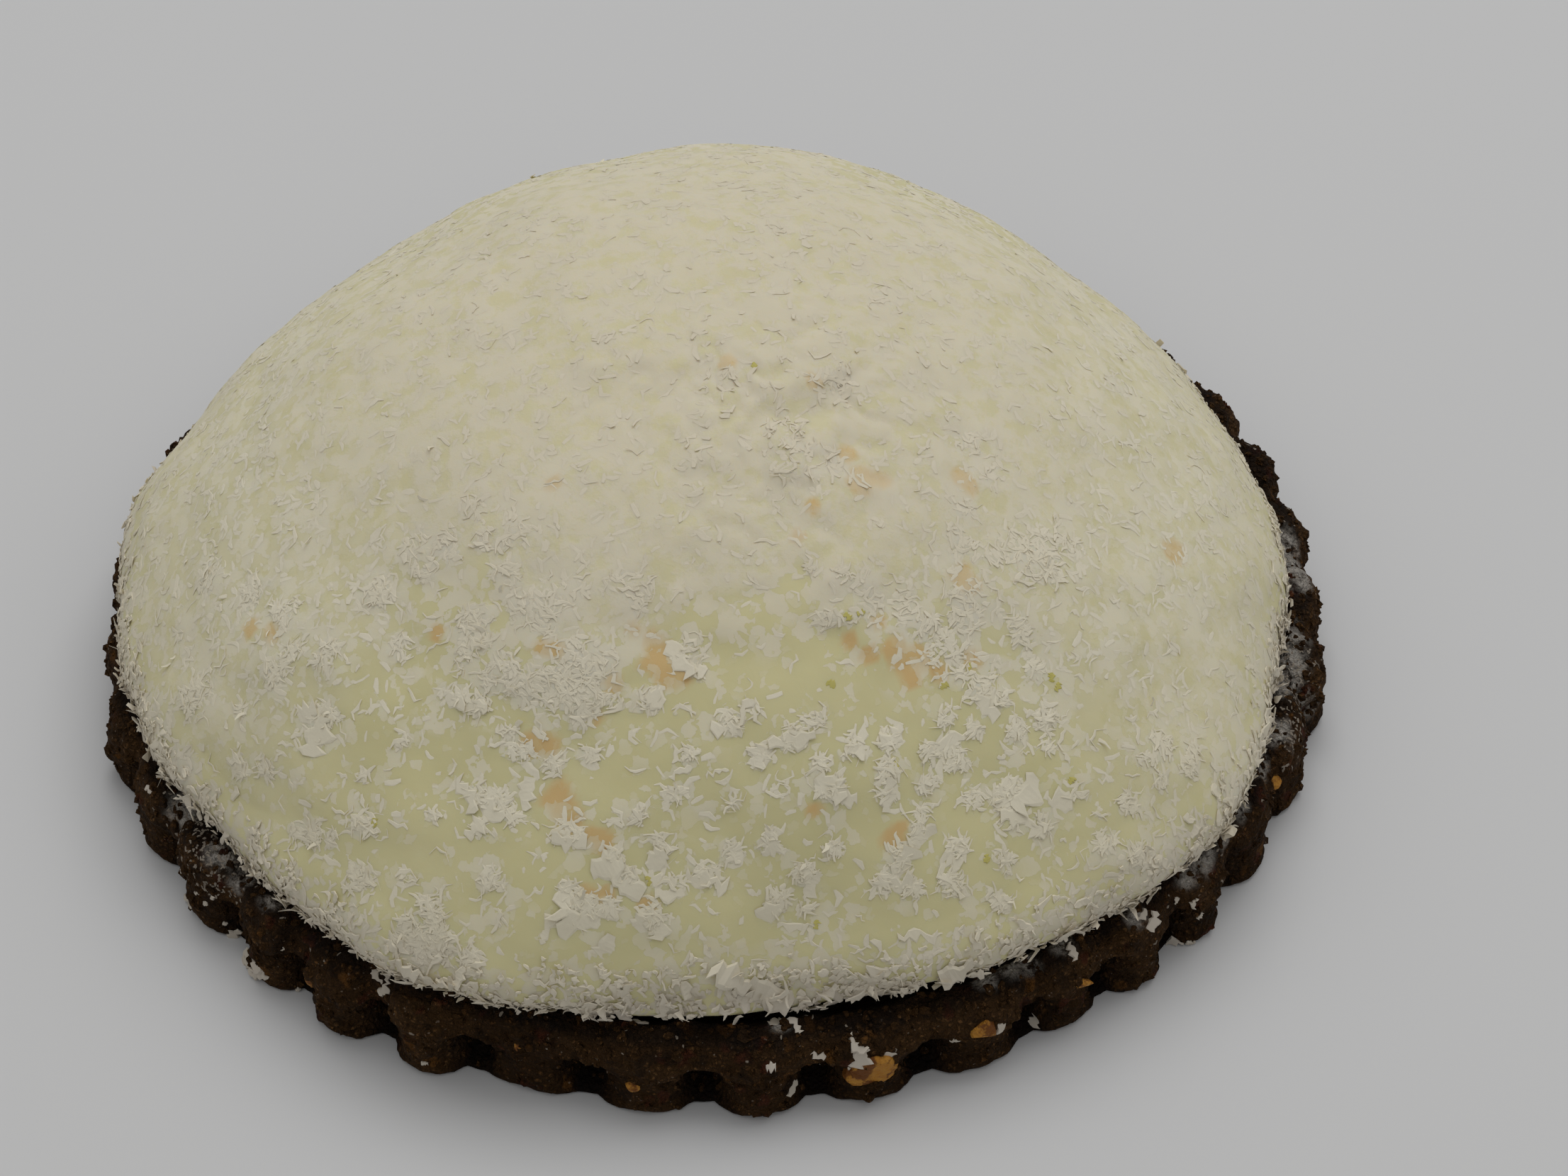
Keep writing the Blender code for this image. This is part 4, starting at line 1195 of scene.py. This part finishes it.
def lip_shreds(name, mound, band, draw, seed):
    """Shreds in a band of heights along the mound's lip, in clumps, that droop at random."""
    height = mound.height
    clumps = CLUMP_LEAST + ease(*CLUMP_FROM, layered(mound.points, LIP_CLUMPS))
    weights = ease(*band["foot"], height) * (1.0 - ease(*band["top"], height))
    spots, out = spread_over(mound, weights * clumps, band["count"], draw)
    down = np.array([0.0, 0.0, -band["droop"]]) + random_headings(len(spots), draw)
    long = draw.choice(band["lengths"], len(spots), p=band["shares"])
    size = (long, LIP_WIDTH + band["widening"] * long, LIP_THICKNESS)
    return shred_piece(name, spots, out, down, size, band["form"], seed)


def make_coat(mound, coat, cover, seen):
    """The coconut on the mound: fine shreds and flakes in clusters over all of it, a ragged fringe
    along its edge, and the larger flakes and the zest at their places."""
    coconut = coconut_paint()
    above_lip = ease(*LOOSE_FROM, mound.height)
    crown = np.maximum(ease(*THINNED_HEIGHTS, mound.height), FLANK_CALM * flanks(mound))
    weights = above_lip * (FINE_ON_BARE + cover**FINE_POWER) * mixed(1.0, FINE_ON_CROWN, crown)
    for number, seed in enumerate(FINE_SEEDS, 1):
        draw = np.random.default_rng(seed)
        spots, out = spread_over(mound, weights, FINE_COUNT, draw)
        headings = random_headings(len(spots), draw)
        name = f"fine_coconut_{number}"
        piece = shred_piece(name, spots, out, headings, FINE_SIZE, FINE, seed + 10)
        finish(piece, coconut, "cream")
    draw = np.random.default_rng(73)
    on_bare, on_coat, on_tuft = FLAKE_WEIGHTS
    weights = above_lip * (on_bare + on_coat * coat * cover + on_tuft * seen)
    weights = weights * mixed(1.0, FLAKES_ON_CROWN, crown)
    spots, out = spread_over(mound, weights, FLAKE_COUNT, draw)
    headings = random_headings(len(spots), draw)
    piece = shred_piece("coconut_flakes", spots, out, headings, FLAKE_SIZE, FLAKE, 83)
    finish(piece, coconut, "cream")
    draw = np.random.default_rng(74)
    finish(lip_shreds("coconut_rim", mound, RIM_BAND, draw, 84), coconut, "cream")
    finish(lip_shreds("coconut_fringe", mound, FRINGE_BAND, draw, 88), coconut, "cream")
    piece = placed_flakes("large_flakes", mound, LARGE_FLAKES, LARGE_THICKNESS, PLACED, 85)
    finish(piece, coconut, "cream")
    piece = placed_flakes("hanging_flakes", mound, HANGING_FLAKES, HANGING_THICKNESS, HANGING, 87)
    finish(piece, coconut, "cream")
    spots, out = seen_at(mound, ZEST)
    headings = random_headings(len(spots), np.random.default_rng(75))
    piece = shred_piece("zest_specks", spots, out, headings, ZEST_SIZE, PLACED, 86)
    finish(piece, zest_paint(), "cream")


def outer_part(crust):
    """The crust's surface without its recess and its underside."""
    points, normals, direction, height = crust
    return Surface(points[:OUTER_ROWS], normals[:OUTER_ROWS], direction, height[:OUTER_ROWS])


def dress_crust(crust, material):
    """Crumbs and nuts in the crust's outer side, and the flakes and the dust that lie on it."""
    outer = outer_part(crust)
    draw = np.random.default_rng(91)
    spots, out = spread_over(outer, ease(*CRUMB_HEIGHTS, outer.height), CRUMB_COUNT, draw)
    piece = lump_piece("crumbs", spots, out, draw.uniform(*CRUMB_RANGE, len(spots)), CRUMB, 92)
    finish(piece, material, "crust")
    spots, out = found_at(outer, [nut[:2] for nut in NUTS])
    piece = lump_piece("chopped_nuts", spots, out, np.array(NUTS)[:, 2], NUT, 93)
    finish(piece, nut_paint(), "crust")
    piece = placed_flakes(
        "flakes_on_crust", outer, CRUST_FLAKES, ON_CRUST_THICKNESS, PLACED, 94, ON_CRUST_LEAN
    )
    finish(piece, coconut_paint(), "cream")
    middles, _ = seen_at(outer, DUSTY)
    near = DUST_ELSEWHERE + 0.0 * outer.height
    for middle in middles:
        near += np.exp(-0.5 * np.sum((outer.points - middle) ** 2, axis=-1) / DUST_REACH**2)
    weights = near * ease(*DUST_HEIGHTS, outer.height)
    spots, out = spread_over(outer, weights, DUST_COUNT, draw)
    headings = random_headings(len(spots), draw)
    piece = shred_piece("coconut_dust", spots, out, headings, DUST_SIZE, FINE, 95)
    finish(piece, dust_paint(), "cream")


def build_cake():
    """The two large pieces, with the values that their paints read, and all that lies on them."""
    crust, gap_shade = crust_surface()
    mound, coat, cover, seen = mound_surface()
    bottom, recess = (0.0, 0.0, 0.0), (0.0, 0.0, RECESS_HEIGHT)
    shell = turned_piece("baked_crust", crust, bottom, recess)
    keep_value(shell, "gap_shade", gap_shade)
    keep_value(shell, "dust", spotted(outer_part(crust), DUSTED, DUST_FADE, SPOT_EDGES))
    crumb = crust_paint()
    finish(shell, crumb, "crust", "crust")
    dress_crust(crust, crumb)
    floor = RECESS_HEIGHT + GAP
    body = turned_piece("cream_body", mound, (*MOUND_CENTRE, floor), mound.points[-1].mean(axis=0))
    keep_value(body, "coat", coat, UPPER_COAT)
    keep_value(body, "cover", cover, EVEN_COVER * UPPER_COAT)
    keep_value(body, "flank", flanks(mound))
    keep_value(body, "stain", spotted(mound, STAINS, STAIN_FADE, SPOT_EDGES))
    finish(body, cream_paint(), "cream", "cream_mound")
    make_coat(mound, coat, cover, seen)


# The room: a pale floor and soft light.


def make_floor():
    """A wide flat floor that belongs to the stage."""
    half = FLOOR_HALF
    points = np.array([(-half, -half, 0.0), (half, -half, 0.0), (half, half, 0.0), (-half, half, 0.0)])
    floor = mesh_piece("floor", points, [(0, 1, 2, 3)], smooth=False)
    floor.data.materials.append(floor_paint())


def make_lamp():
    """A wide lamp above and behind, which faces the cake. Its place is in metres."""
    lamp = bpy.data.lights.new("soft light above", "AREA")
    lamp.shape = "RECTANGLE"
    lamp.size, lamp.size_y = LAMP_SIZE
    lamp.energy = LAMP_POWER
    light = bpy.data.objects.new("soft light above", lamp)
    place = np.array(LAMP_PLACE)
    back = place / np.linalg.norm(place)
    right = np.array([1.0, 0.0, 0.0])
    turn = Matrix((right, np.cross(back, right), back)).transposed().to_4x4()
    light.matrix_world = Matrix.Translation(place) @ turn
    bpy.context.scene.collection.objects.link(light)


def make_sky():
    """White light from all round that brightens smoothly from the horizon up."""
    world = bpy.data.worlds.new("room")
    world.use_nodes = True
    nodes, links = world.node_tree.nodes, world.node_tree.links
    nodes["Background"].inputs["Color"].default_value = (1.0, 1.0, 1.0, 1.0)
    toward = nodes.new("ShaderNodeTexCoord")
    parts = nodes.new("ShaderNodeSeparateXYZ")
    fade = nodes.new("ShaderNodeMapRange")
    fade.interpolation_type = "SMOOTHSTEP"
    fade.inputs["From Min"].default_value, fade.inputs["From Max"].default_value = SKY_RISE
    fade.inputs["To Min"].default_value, fade.inputs["To Max"].default_value = SKY_LIGHT
    links.new(toward.outputs["Generated"], parts.inputs["Vector"])
    links.new(parts.outputs["Z"], fade.inputs["Value"])
    links.new(fade.outputs["Result"], nodes["Background"].inputs["Strength"])
    bpy.context.scene.world = world
    bpy.context.scene.view_settings.view_transform = "Standard"


set_camera()
build_cake()
make_floor()
make_lamp()
make_sky()
